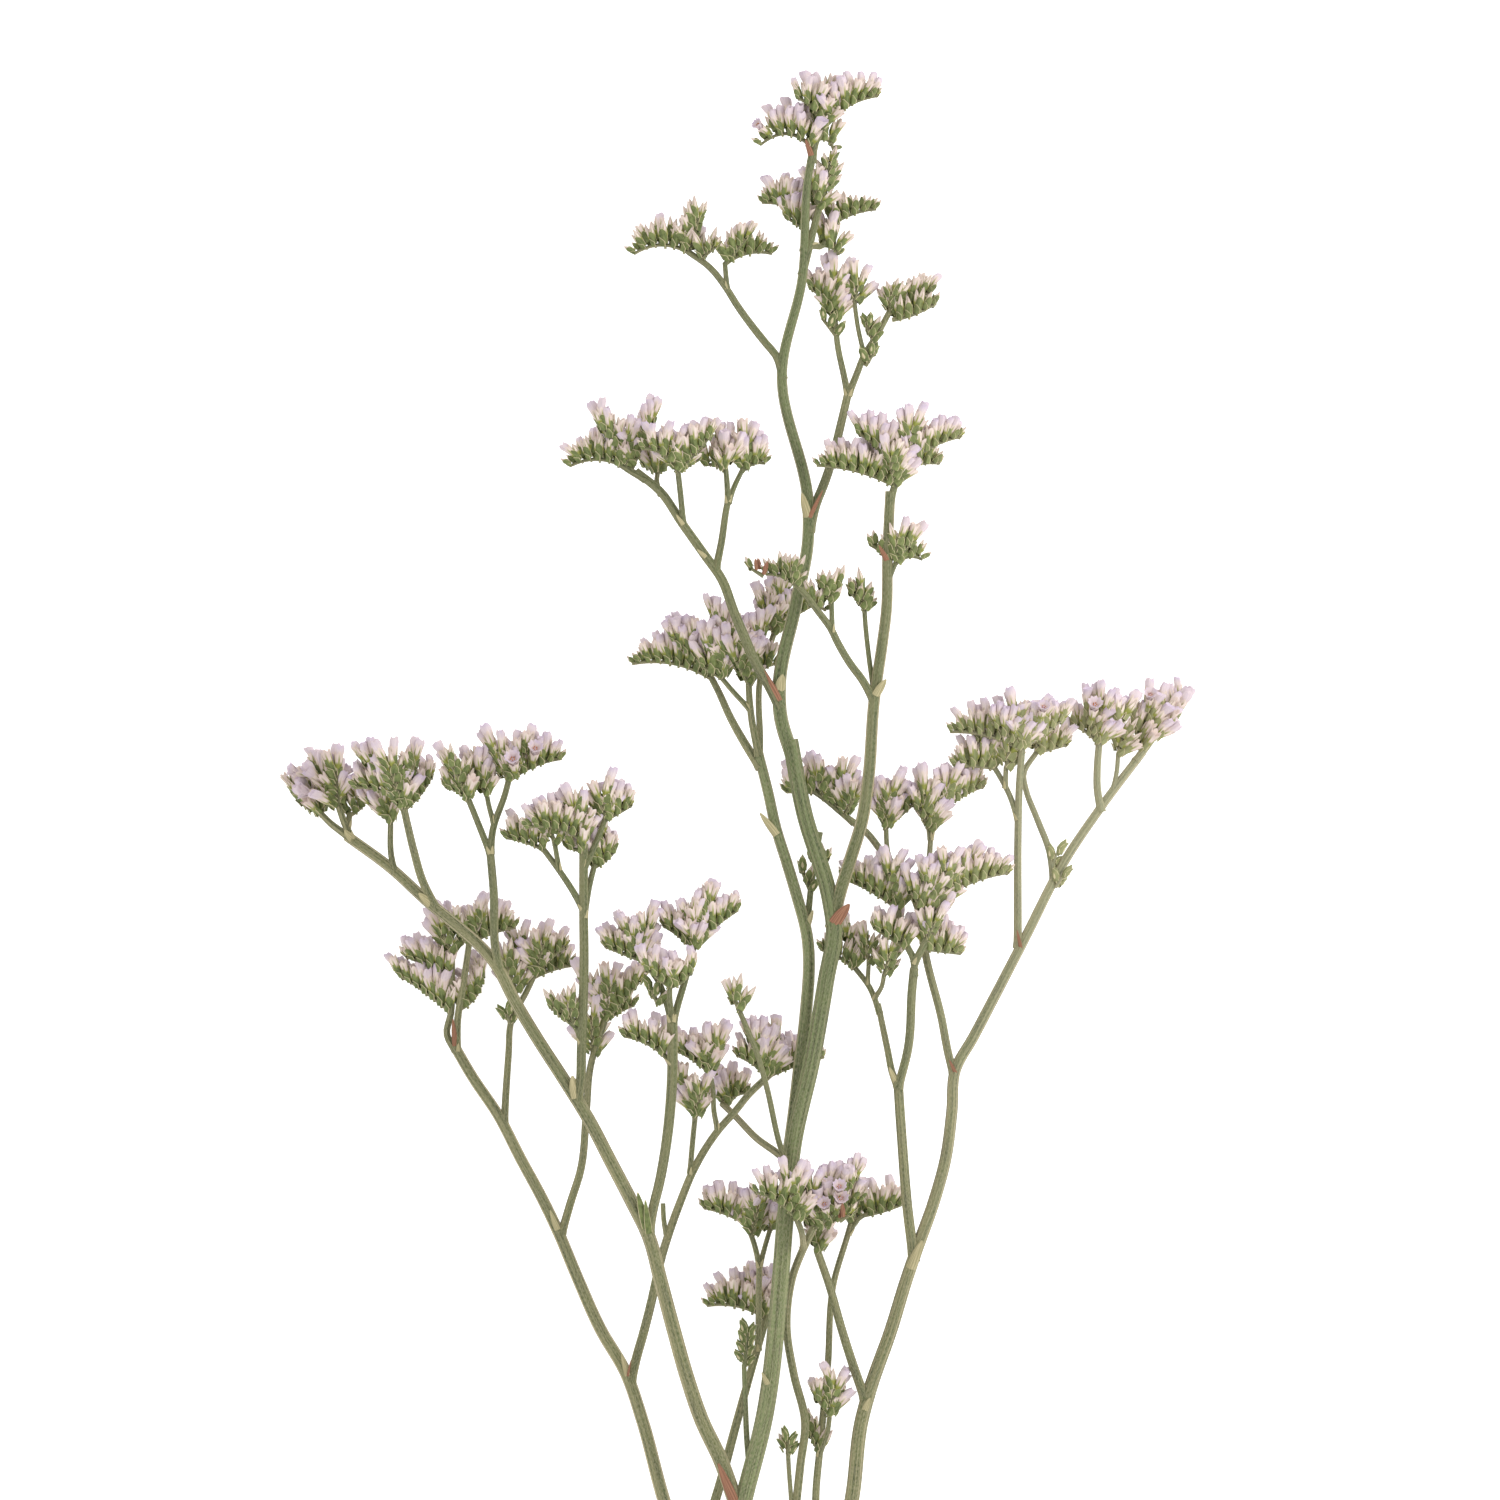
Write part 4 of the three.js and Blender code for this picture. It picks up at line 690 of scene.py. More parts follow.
def spike(start, end, bend=0.1, habit=FLOWERING, face=FACE_UP):
    """The parts of a spike from its foot to its tip. It arches by bend times its length."""
    start, end = Vector(start), Vector(end)
    chord = end - start
    side = Vector((-chord.y, chord.x, 0)).normalized()
    if side.y < 0:
        side.negate()
    middle = start + chord / 2 + side * bend * chord.length
    rounds = max(4, round(chord.length / PITCH))
    curve = interpolate_bezier(start, (start + 2 * middle) / 3, (end + 2 * middle) / 3, end, rounds + 1)
    growth = Vector((start.x * LEAN_PER_MM, 1, 0)).normalized()
    up = growth + UP * face
    parts = [tube("axis", curve, lambda length: AXIS_ROOT + (AXIS_TIP - AXIS_ROOT) * length / chord.length,
                  3, stem_green)]
    count = max(1, round(chord.length * (LAST - FIRST) / PITCH))
    for k in range(count + 1):
        share = FIRST + (LAST - FIRST) * k / count
        at = share * rounds
        i = min(int(at), rounds - 1)
        centre = curve[i].lerp(curve[i + 1], at - i)
        tangent, normal, across = directions(curve, i, up)
        across *= 1 if k % 2 else -1
        upright = max(0, tangent.dot(growth))
        row = ROW_ANGLE * (1 + upright)
        sideways = normal * math.cos(row) + across * math.sin(row)
        late = max(0, (share - FULL_UNTIL) / (1 - FULL_UNTIL)) * (1 - upright * upright)
        ahead = sideways * OUTWARD + growth * UPWARD + tangent * (FAN * share * share - BACKWARD)
        ahead += Vector((rng.uniform(-1, 1), rng.uniform(-1, 1), rng.uniform(-1, 1))) * JITTER
        size = (1 - TIP_SHRINK * late) * rng.uniform(1 - UNEVEN, 1 + UNEVEN)
        foot = centre + sideways * FOOT + ahead.normalized() * max(0, -across.z) * BACK_RISE * (1 - late)
        front = across.z + rng.uniform(-MIXED_ROWS, MIXED_ROWS) > 0
        template = BUD if late > BUD_FROM else rng.choice(habit[front])
        outward = across - normal * (FACE_BACK + UPRIGHT_FACE_BACK * upright) - growth * FACE_DOWN
        parts.append(copied(template, aimed(foot, ahead, outward, size)))
    return parts


# ---- Branches ------------------------------------------------------------------------------------
# The main stem and its side branches, each a bent, ribbed tube that grows out of the one that carries
# it. Papery scales clasp the joints, and some branches bear small spikes or green buds of their own.


def branch(name, stems, scales=(), spikes=(), skin=stem_green):
    """A branch: its stems, the scales at its joints and any spikes, each given as what its function takes."""
    rings.clear()
    parts = [stem(*data) for data in stems]
    parts += [scale(*data) for data in scales]
    for data in spikes:
        parts += spike(*data)
    grown = gather(name + "_grown", parts)
    grown.data.materials[0] = skin
    settle(grown, name)


# Main stem, from the cut end to the top, with a bud twig low on its left.
branch("main_stem", [
    (2.3, 2, (-8, -95, 3.1), (-8, -50, 10.5), (-6, -20), (-1.5, 0, 22), (3.5, 20), (7.2, 50, 30), (8.8, 70),
     (11, 90, 35), (15.5, 110), (19, 130), (21, 143, 39.7), (20, 150, 40.2), (13.5, 172), (10, 190, 41.5)),
    (1.75, 1, (11.2, 184, 41.2), (7.5, 197, 41.7), (7.3, 203, 42), (11.5, 224), (14.5, 240, 42),
     (14.5, 249, 42), (8, 282, 42), (13, 305, 43.5), (14.5, 330), (15.5, 336, 46)),
    (0.8, 0.6, (0.3, 4, 22.5), (-0.8, 15, 19.5), (-1.2, 25, 18.5), (-1.5, 33.5, 18.5)),
], [
    ((19.5, 144.2, 41), (23.8, 148.8, 43), scale_brown),
    ((7, 200.5, 43), (2, 209, 44.5), scale_brown),
    ((4.7, 202.8, 43.5), (5.6, 206.8, 46), scale_pale),
    ((13.2, 246, 42), (11.6, 252, 44), scale_pale, 1.8),
    ((16.4, 246.5, 42), (20.2, 253, 44), scale_brown, 0.8),
    ((15, 336, 46.3), (13.5, 340, 47), scale_brown),
    ((3.5, 30, 27), (1.8, 33, 27.8), scale_pale, 0.7),
], [
    ((-1.5, 32.5, 18.5), (-0.6, 41.5, 19), 0, GREEN),
], skin=main_green)

# Left branch: leaves the main stem low down, crosses it to the left and ends at the left edge.
branch("branch_left", [
    (1.85, 1.25, (-2.6, -4, 21), (-7.3, 9.5, 24), (-12.2, 20), (-15.6, 30), (-19.1, 42.5, 31.5),
     (-22.4, 55), (-25.2, 65.5, 34), (-29.8, 75), (-35, 85), (-40.2, 95, 37.5), (-46.4, 105, 38),
     (-53.2, 115.5), (-58.6, 124.5), (-64, 134.5, 36), (-75, 145, 32), (-80, 149, 30), (-90, 158),
     (-101, 166, 22)),
], [
    ((-43.8, 100, 38.2), (-44.8, 105.6, 39.8), scale_pale, 2.2),
    ((-80, 149, 30.5), (-83, 151.8, 31.5), scale_pale),
    ((-25.2, 69, 34.8), (-27.2, 78, 37.5), bract_green, 1.5),
    ((-23.8, 67, 34.8), (-24.4, 75.5, 37.5), bract_green, 1.2),
    ((-3.2, -1, 22.5), (-7.6, 9.5, 27), scale_brown, 1.5),
    ((-100, 165.5, 22.5), (-102, 168, 24), scale_pale),
])

# Far left branch: runs low, under the left branch, and rests lowest of the large branches.
branch("branch_far_left", [
    (1.75, 1.3, (-8, -52, 10.2), (-9, -45, 12.3), (-14.6, -22, 14), (-21.8, 0), (-27.2, 20, 15.8),
     (-31, 31, 16), (-37.6, 42.5), (-43.2, 55), (-47.8, 66, 16), (-52.1, 75), (-57.5, 85), (-63.2, 96, 15),
     (-69.6, 105.5), (-74.3, 113.5, 14)),
], [
    ((-48.2, 67, 16.5), (-50, 72, 18.5), scale_pale, 1.1),
    ((-31, 30.5, 16.2), (-32.4, 36, 18.5), scale_pale, 1),
    ((-30.6, 31, 16.2), (-29.2, 35.2, 19), scale_brown, 0.4),
    ((-75.3, 113.6, 14.6), (-75.4, 120.4, 16.5), scale_brown, 1.2),
])

# Right branch: leaves the main stem lowest and ends at the right edge.
branch("branch_right", [
    (2.1, 1, (-8, -80, 5), (0, -66, 8), (12.5, -44, 13), (20, -24), (25.6, 0, 17), (28.1, 20), (30, 27, 20),
     (35.4, 42.5), (39.2, 55), (41.4, 61.5, 26), (46.2, 75), (48.9, 85), (50.5, 97, 30), (51.4, 107.5, 30),
     (55.8, 115.5), (60.8, 125), (68.6, 140, 28), (79, 160, 24), (88.2, 173.5, 20), (98.5, 187, 14)),
], [
    ((50.6, 108, 30.3), (48.6, 111, 33), scale_brown, 0.7),
    ((39.9, 59, 25.6), (42.9, 66, 30), scale_pale, 1.9),
    ((68, 139, 28.3), (66.4, 143.2, 32), scale_brown, 0.8),
    ((29, 22.5, 19.6), (30.4, 25.6, 21.6), scale_pale, 1),
])

# Right inner branch: forks off the right branch and splits in two below its flowers.
branch("branch_right_inner", [
    (1.4, 1.3, (41, 59.5, 26), (40.5, 64, 27), (39.5, 72), (38, 90, 33.5), (37.3, 100), (37, 105, 36)),
    (0.9, 0.75, (37, 103, 36), (35.5, 107, 35), (34.5, 112), (32, 124, 32)),
    (1.1, 1.1, (37, 103, 36), (39.5, 113), (40.5, 128), (41, 133, 41.8)),
], [
    ((36.5, 104, 36.5), (34.8, 108, 38), scale_pale),
])

# Right middle branch: forks off the right branch and leans back behind the upper right branch.
branch("branch_right_middle", [
    (1.05, 0.85, (51, 106, 30), (49.5, 112, 30), (48, 120), (44, 136, 29), (43, 142), (42, 148, 29),
     (37, 157, 29), (33, 162), (29, 167, 30), (25, 170, 31)),
])

# Middle branch: a long side branch that runs beside and behind the main stem and emerges on its left.
branch("branch_middle", [
    (1.65, 1.25, (9.7, 86, 34), (11, 96, 31.4), (12.6, 110, 31.2), (13.8, 120), (14.1, 142, 34.7),
     (11.7, 151), (9.3, 159, 36.8), (6.5, 168, 37), (4.5, 177), (2, 187, 35)),
    (0.85, 0.65, (14.2, 142, 35), (15.5, 155, 32.5), (16.5, 161, 31.5), (17.6, 167, 31.5)),
], [
    ((14.8, 143, 35.3), (16.3, 147, 37), scale_pale),
    ((7, 167, 37.5), (2.7, 172.4, 38), scale_pale),
], [
    ((15.2, 152, 33), (12.9, 157.4, 32.5), 0, GREEN),
    ((16.4, 158.5, 32), (19.2, 160, 31), 0, GREEN),
], skin=main_green)

# Upper left branch: crosses over the middle branch's flowers.
branch("branch_upper_left", [
    (1.3, 1.05, (7.6, 198, 42), (4.5, 204, 43), (1.5, 209, 45), (-1.5, 216, 47), (-4, 222), (-7, 230, 49),
     (-11.2, 236, 50), (-16.9, 244, 50), (-22.4, 252, 50), (-28.5, 257, 49)),
], [
    ((-17.3, 244.5, 50.5), (-19, 247, 52), scale_pale, 1),
    ((-11.4, 236.3, 50.3), (-13.6, 238.2, 51.8), scale_pale, 1),
])

# Upper right branch: rises in front of the right middle branch.
branch("branch_upper_right", [
    (1.6, 1.25, (20.6, 143, 39.7), (22, 150, 41), (25, 160, 43), (28, 170, 45), (29.5, 180), (31, 200, 48),
     (33, 214), (34, 222, 50), (34.3, 237), (35, 252, 52)),
], [
    ((34.1, 235.6, 50.8), (31.8, 239.2, 53), scale_brown, 1.1),
    ((31.2, 201, 48.5), (34, 205, 50.3), scale_pale),
], [
    ((34.2, 234.5, 50.5), (30, 238.6, 50), 0.2, YOUNG),
])

# ---- Sprays --------------------------------------------------------------------------------------
# The ends of the branches. Each is a few thin, forked twigs with small scales at the forks and one-sided
# flower spikes at their tips. A spray is named by where it stands on the plant.


def spray(name, stems, spikes):
    """A spray: its twigs and its flower spikes, each given as what stem or spike takes."""
    rings.clear()
    parts = [stem(*data) for data in stems]
    parts += fork_scales(stems)
    for data in spikes:
        parts += spike(*data)
    settle(gather(name + "_grown", parts), name)


# Top spray, on the tip of the main stem.
spray("spray_top", [
    (1.05, 0.8, (15.4, 334, 45.7), (16.3, 339, 46), (18.6, 343.5, 46.5)),
], [
    ((15.9, 337.3, 46), (2.5, 338.5, 43), 0.5, OPEN, 0),
    ((18, 342.5, 46.4), (11.5, 350.3, 48), 0.3),
    ((18.4, 343, 46.5), (18.2, 350.5, 45), 0),
    ((18.6, 343.3, 46.5), (32, 350.8, 44), 0.2),
    ((16.8, 340, 46), (20.8, 337.4, 42), 0.4),
])

# Spray behind the main stem, under the top one.
spray("spray_top_back", [
    (0.75, 0.65, (13.2, 312, 44), (13.6, 318, 40.5), (13.9, 323, 40)),
], [
    ((13.7, 317.5, 40.5), (8.8, 320.5, 38)),
    ((13.9, 322.2, 40), (3, 324.3, 37)),
])

# Spray on the right, under the top one.
spray("spray_top_right", [
    (1, 0.85, (13, 306, 43.5), (14.8, 313, 44), (16.5, 320), (18.5, 327, 44)),
    (0.75, 0.65, (15, 313.5, 44), (18.3, 313.5, 41), (19.8, 317, 40), (20.3, 319.6, 40)),
], [
    ((18.4, 326.5, 44), (19.8, 334, 45), 0, YOUNG),
    ((20.2, 318.6, 40), (31.5, 322.6, 39), 0.15, YOUNG),
    ((18.3, 313.6, 41), (22.3, 311.5, 39), 0.2),
    ((17.3, 322.5, 44), (15.8, 328, 45), 0),
])

# Crown spray on the left, with two arched heads.
spray("spray_crown_left", [
    (1.05, 0.75, (8.3, 280, 42), (6.5, 286, 42), (4, 289), (-3.5, 299), (-6, 303, 40), (-10, 308),
     (-15.5, 312, 38)),
    (0.65, 0.6, (-5.7, 302.5, 40), (-6.3, 309.3, 39)),
], [
    ((-15.3, 311.8, 38), (-29, 311.5, 35), 0.3, PALE),
    ((-15.4, 311.9, 38), (-13, 320.5, 39), 0, PALE),
    ((-12.5, 310.2, 38.8), (-9, 312.8, 42), 0, YOUNG),
    ((-6.3, 308.8, 39), (5.5, 311.5, 37), 0.25, YOUNG),
    ((-6.3, 308.9, 39), (-1.2, 315, 41), 0, PALE),
])

# Crown spray on the right.
spray("spray_crown_right", [
    (1.25, 1, (14.8, 242, 42), (16.5, 249, 41.3), (18.5, 254, 40), (20.5, 260, 38), (22.5, 268, 37),
     (24.7, 277.5, 36)),
    (0.85, 0.7, (24.5, 276, 36), (23.5, 281), (22, 288), (21.2, 295.3, 36)),
    (0.9, 0.75, (24.5, 276, 36), (26.5, 281), (29, 287), (31, 290), (35, 297.3, 35)),
    (0.6, 0.55, (28.6, 286, 35.6), (27, 293), (26, 300.3, 36)),
], [
    ((21.2, 294.8, 36), (15, 303, 35), 0.2),
    ((21.2, 294.8, 36), (21.3, 304.5, 37), 0),
    ((26, 299.3, 36), (26.8, 303.6, 36), 0),
    ((34.6, 296.4, 35), (45.5, 302, 33), 0.1, PALE),
    ((35.5, 295, 36), (46.5, 299.2, 35), -0.1, YOUNG),
    ((35, 296.8, 35), (35.5, 302, 37), 0, YOUNG),
    ((30.8, 289.7, 35), (29.3, 293.8, 37), 0, GREEN),
    ((28.8, 283.5, 35.8), (30.8, 286.5, 36.5), 0, GREEN),
    ((21.6, 291, 36), (18, 295.4, 36.5), 0, GREEN),
])

# Upper left sprays: the wide one at the branch's tip, two on short twigs, and a forked one.
spray("spray_upper_left_end", [
    (0.95, 0.75, (-26, 255, 49.5), (-30.5, 257.5, 49), (-32.7, 259, 49)),
], [
    ((-31.7, 258.4, 49), (-45, 258.3, 46), 0.25),
    ((-32, 258.7, 49), (-37, 268, 51)),
    ((-29.7, 257.2, 49), (-24.6, 269, 47), 0),
    ((-30.8, 257.8, 49), (-31, 265, 51), 0),
])
spray("spray_upper_left_middle", [
    (0.75, 0.7, (-16.6, 243.7, 50), (-17.3, 251, 53), (-18, 257.3, 56)),
], [
    ((-18, 256.8, 56), (-27, 262.5, 58), 0.35),
    ((-18, 256.8, 56), (-9.8, 265.7, 58), 0),
    ((-17.8, 257, 55.5), (-12.5, 260, 53), 0),
    ((-18, 257, 56), (-18.5, 263, 57), 0),
])
spray("spray_upper_left_small", [
    (0.65, 0.6, (-22.3, 251, 50), (-23.2, 254, 48.5), (-23, 257, 45)),
], [
    ((-23, 256.6, 45.3), (-27, 258.5, 41)),
    ((-23, 256.6, 45.3), (-20, 259, 41)),
])
spray("spray_upper_left_fork", [
    (0.95, 0.8, (-8.5, 232.5, 49.5), (-7, 240, 51), (-6, 247, 52), (-5.3, 250.5, 52)),
    (0.75, 0.65, (-5.5, 249, 52), (-5.8, 255, 52), (-6.1, 258, 52)),
    (0.7, 0.6, (-5.4, 249, 52), (-4, 253, 50), (-1.9, 257.4, 49)),
], [
    ((-6.1, 257.2, 52), (-7.8, 263.6, 49)),
    ((-6.1, 257.4, 52), (-11.5, 258.5, 49), 0.2),
    ((-2, 256.9, 49), (-0.8, 264, 49), 0),
    ((-2, 256.9, 49), (3.8, 259, 47), 0.3),
])

# Upper right sprays: the wide one at the branch's tip, a low one, and two that hang to the left.
spray("spray_upper_right_end", [
    (0.95, 0.75, (35, 249.5, 52), (36.3, 254, 52), (38.7, 258.8, 52)),
], [
    ((38.4, 258.2, 52), (52.5, 265.6, 49), 0.15),
    ((38, 257.5, 52), (40.2, 267.2, 54), 0),
    ((38.2, 258, 51.8), (47.3, 259, 47), 0.1),
    ((36.1, 253.4, 52), (26.5, 266.8, 54), 0.25),
    ((36.1, 253.4, 52), (16.6, 258.4, 54), 0.12),
    ((36, 253.5, 52.2), (35.2, 260, 56), 0),
])
spray("spray_upper_right_low", [
    (0.7, 0.6, (34, 228.5, 50), (35.6, 232.5, 51), (36.5, 234.6, 51)),
], [
    ((36.3, 234, 51), (43, 235, 49), 0.35, YOUNG),
    ((36.3, 233.8, 51), (40, 238.9, 52), 0.1, PALE),
    ((36.3, 234, 51), (36.8, 239.5, 53), 0, PALE),
])
spray("spray_hanging", [
    (1.05, 0.8, (31, 199.5, 48), (28, 205, 50), (25, 209), (22, 214, 53), (20, 218, 54), (17, 222),
     (14, 226, 56), (11, 229.2, 56)),
    (0.65, 0.6, (20.5, 216.8, 54), (20.3, 225.2, 54)),
], [
    ((11.3, 228.9, 56), (4, 231.3, 54), 0.2, YOUNG),
    ((11.3, 228.6, 56), (10.3, 232.8, 58), 0, YOUNG),
    ((3.4, 230.8, 54.5), (0.4, 232.6, 54.5), 0, DRIED),
    ((20.2, 224.4, 54), (17.8, 228.5, 54.5), 0, YOUNG),
    ((20.3, 224.7, 54), (22.3, 228.3, 53), 0, YOUNG),
    ((15.8, 223.7, 55.2), (18.8, 222.3, 52), 0.1, YOUNG),
])
spray("spray_hanging_back", [
    (0.65, 0.6, (30.9, 202, 48.2), (29.5, 212, 47.5), (28.7, 220), (28.5, 223.2, 48)),
], [
    ((28.5, 222.8, 48), (25, 227, 49), 0, YOUNG),
    ((28.5, 222.4, 48), (28.4, 227, 49), 0, YOUNG),
])

# Middle sprays: a wide arched one on the left, a dense one, and one behind the main stem.
spray("spray_middle_left", [
    (1.15, 0.8, (2.6, 183, 35.4), (-1.5, 189.5, 33.5), (-4.6, 195), (-8.3, 203, 32), (-10, 206.2, 31)),
], [
    ((-9.6, 205.3, 31.2), (-29.5, 209, 28), 0.2),
    ((-10.5, 206.5, 31), (-19.5, 215.5, 33), 0.1, OPEN, 0.3),
    ((-9.8, 205.8, 31), (-14.5, 214.5, 34), 0),
])
spray("spray_middle_dense", [
    (0.95, 0.75, (2.2, 186, 35.8), (0.3, 196, 37), (-0.3, 205, 37.5), (0, 210, 38)),
    (0.7, 0.6, (0.1, 197.5, 37), (-5, 203, 37.3), (-7.5, 206, 37.5)),
    (0.65, 0.6, (-0.3, 203.5, 37), (1.9, 206.6, 37)),
], [
    ((-7.1, 205.5, 37.4), (-12, 208.5, 38), 0),
    ((-7.1, 205.6, 37.4), (-10.5, 213, 39)),
    ((-0.2, 208.3, 37.8), (-5.5, 215.5, 39)),
    ((-0.2, 209.2, 38), (-9.2, 220.4, 36), 0),
    ((0, 209.5, 38), (2.8, 216.5, 38), 0),
    ((1.7, 206.3, 37), (6.2, 209, 36), 0.2),
    ((-7.2, 205.6, 37.5), (-5.2, 212.5, 40), 0),
    ((-0.4, 204, 37.5), (-3.2, 209.5, 40.5), 0, BACKS),
])
spray("spray_middle_back", [
    (0.85, 0.7, (2.4, 183.5, 35.6), (2.5, 190, 32), (2.5, 205, 31), (6.2, 217.3, 31)),
], [
    ((6, 216.5, 31), (3.8, 222.6, 33), 0, BACKS),
    ((6.2, 216.9, 31), (7.5, 226, 32), 0, BACKS),
    ((6.2, 217, 31), (16.5, 224, 29)),
])

# Left sprays: the one at the tip reaches down to the surface, three more stand along the branch.
spray("spray_left_end", [
    (1, 0.75, (-99, 164.6, 23), (-103, 167.5, 21), (-105, 169), (-107.5, 171.5, 18)),
    (0.95, 0.8, (-99.5, 164.7, 22.8), (-101.5, 169, 22), (-103, 173.2, 21)),
    (0.8, 0.7, (-100.9, 167.8, 22.2), (-100.3, 171.5, 19.5)),
], [
    ((-107, 171, 18.3), (-115, 178.6, 4), -0.1, BACKS),
    ((-107, 171, 18.3), (-110.5, 179.5, 10), 0, BACKS),
    ((-103, 172.8, 21), (-109.5, 181.8, 17), 0.1, OPEN, 0.35),
    ((-103, 172.8, 21), (-103.8, 182.3, 21), 0, BACKS),
    ((-100.3, 171.1, 19.6), (-95.2, 178, 14), -0.2, BACKS),
])
spray("spray_left_second", [
    (0.8, 0.7, (-88.8, 156.5, 27), (-89.8, 161, 26.5), (-90, 169.6, 26)),
], [
    ((-90, 169.2, 26), (-94.5, 173, 25), 0.2),
    ((-90, 169.2, 26), (-90, 174.5, 26), 0),
])
spray("spray_left_third", [
    (1.1, 0.9, (-78.5, 147.7, 30.6), (-82, 155, 31), (-84, 162, 33), (-86.6, 173.2, 36)),
], [
    ((-86.5, 172.5, 35.8), (-99, 178, 33), 0.3),
    ((-86.5, 172.8, 36), (-95.5, 184, 36)),
    ((-86.6, 172.8, 36), (-90, 183.5, 40), 0),
    ((-86.6, 172.8, 36), (-84, 184.5, 37), 0, BACKS),
    ((-86.4, 172.6, 36), (-79.8, 180.5, 33), -0.1, BACKS),
])
spray("spray_left_fourth", [
    (1.1, 1, (-62.3, 131.5, 36), (-63.6, 138, 38), (-64, 152, 42), (-64.9, 162.5, 43)),
    (0.85, 0.75, (-64.8, 161.5, 43), (-67, 167), (-69, 172), (-70.5, 175.6, 42)),
    (0.9, 0.75, (-64.8, 161.5, 43), (-64.3, 167), (-61, 177), (-60.2, 180.2, 43)),
    (0.65, 0.6, (-63.9, 169, 43), (-65.3, 174, 41.5), (-65.7, 176.2, 41)),
], [
    ((-70.4, 175.1, 42), (-75, 184, 44.5), 0.1, BACKS),
    ((-70.4, 175.1, 42), (-75.8, 178, 40), 0.2),
    ((-65.7, 175.8, 41), (-68.8, 183, 40), 0),
    ((-60.4, 179.6, 43), (-62.8, 186.5, 43), 0),
    ((-60.2, 179.8, 43), (-55.7, 187.5, 45), 0, BACKS),
    ((-60.3, 179.7, 43), (-47, 185.3, 41), 0.15, OPEN, 0.1),
])
spray("spray_left_upright", [
    (1.2, 1.35, (-25.3, 66.5, 33.8), (-24.4, 72, 35), (-22.5, 80, 37), (-20.8, 90, 40), (-19.5, 104),
     (-19.4, 121.5, 46)),
    (0.65, 0.6, (-19.4, 109, 44), (-21.7, 111.6, 43)),
    (0.85, 0.7, (-19.6, 119.5, 46), (-21, 125, 45.5), (-23, 130), (-27, 135.3, 44)),
    (0.9, 0.75, (-19.2, 119.5, 46), (-18, 124, 45.5), (-16.5, 129), (-14, 138.3, 45)),
    (0.75, 0.65, (-19.4, 120.5, 46), (-20, 125, 49), (-20, 129, 52)),
], [
    ((-21.3, 111.3, 43.2), (-31.5, 116, 41), 0.15),
    ((-26.8, 134.9, 44), (-36, 138.3, 42), 0),
    ((-26.8, 134.9, 44), (-31, 141.5, 45)),
    ((-27, 134.9, 44), (-25.7, 143, 45), 0),
    ((-14.1, 137.7, 45), (-21.5, 143.5, 43)),
    ((-14, 137.9, 45), (-10, 149.5, 45), 0),
    ((-13.9, 138, 45), (-3, 147.5, 42)),
    ((-23, 124, 46), (-24.4, 127.6, 46.5), 0, GREEN),
    ((-20, 128.5, 51.6), (-26, 133, 53), 0),
    ((-20, 128.4, 51.5), (-14.5, 132.5, 51), -0.2),
    ((-14, 137.8, 45), (-14.6, 146, 46), 0),
])
spray("spray_left_tall", [
    (1.2, 1.1, (-43, 100.3, 38), (-42.3, 105, 40), (-42.1, 112, 42), (-41.4, 135), (-41.5, 146, 48),
     (-41.5, 165.2, 48.5)),
    (0.85, 0.7, (-41.5, 147.5, 48), (-44, 152, 48), (-48, 158), (-51.5, 162.7, 46)),
    (0.8, 0.7, (-41.4, 145.5, 48), (-40, 154, 46.5), (-38.8, 158.8, 45)),
    (0.8, 0.65, (-41.4, 158, 48.5), (-39, 163, 48), (-37, 168), (-36.1, 170.4, 46.5)),
    (0.75, 0.6, (-42.1, 114, 42.5), (-43.5, 118.2, 43), (-46, 120.4, 43)),
    (0.65, 0.6, (-47.6, 157.5, 47), (-48.8, 164.6, 48)),
], [
    ((-51.1, 162.4, 46), (-60.8, 165.5, 43)),
    ((-41.5, 164.6, 48.5), (-56, 168, 53), 0.25),
    ((-41.5, 164.8, 48.5), (-43.5, 172.5, 50), 0),
    ((-38.8, 158.3, 45), (-36.8, 165.5, 43), 0),
    ((-36.3, 169.9, 46.5), (-29.8, 173.5, 45), 0),
    ((-36.3, 170, 46.5), (-36.6, 175, 48), 0),
    ((-46, 120.2, 43), (-49.8, 123.3, 42), 0, YOUNG),
    ((-43.7, 118.4, 43), (-45.2, 123.8, 45), 0, YOUNG),
    ((-41.6, 162, 48.5), (-45.6, 163, 47)),
    ((-38.8, 158.3, 45), (-34, 162, 42), -0.1),
    ((-48.8, 164.1, 48), (-49.8, 168.5, 48.5), 0),
])

# Far left sprays: the outermost, one on a tall twig, and an upright one that crosses under.
spray("spray_far_left_end", [
    (0.9, 0.7, (-73.8, 112, 14.2), (-76, 116, 14), (-75, 121.5), (-74.7, 130, 15.5), (-74.7, 137.2, 16)),
    (0.95, 0.75, (-73.5, 112, 14.2), (-73.3, 120, 15), (-72, 128, 17), (-70.3, 139.7, 18)),
], [
    ((-74.7, 121.5, 14.2), (-88, 131, 11), 0.05),
    ((-74.8, 131, 15.5), (-86, 135.6, 13), 0),
    ((-74.7, 136.5, 16), (-77, 142, 16), 0),
    ((-72.8, 122.5, 15.5), (-67.2, 130.5, 12), -0.25),
    ((-70.5, 138.8, 18), (-74.6, 143.8, 20), 0),
    ((-70.4, 139.2, 18), (-67.3, 145, 20), 0),
    ((-70.4, 139, 18), (-58.8, 143, 16)),
])
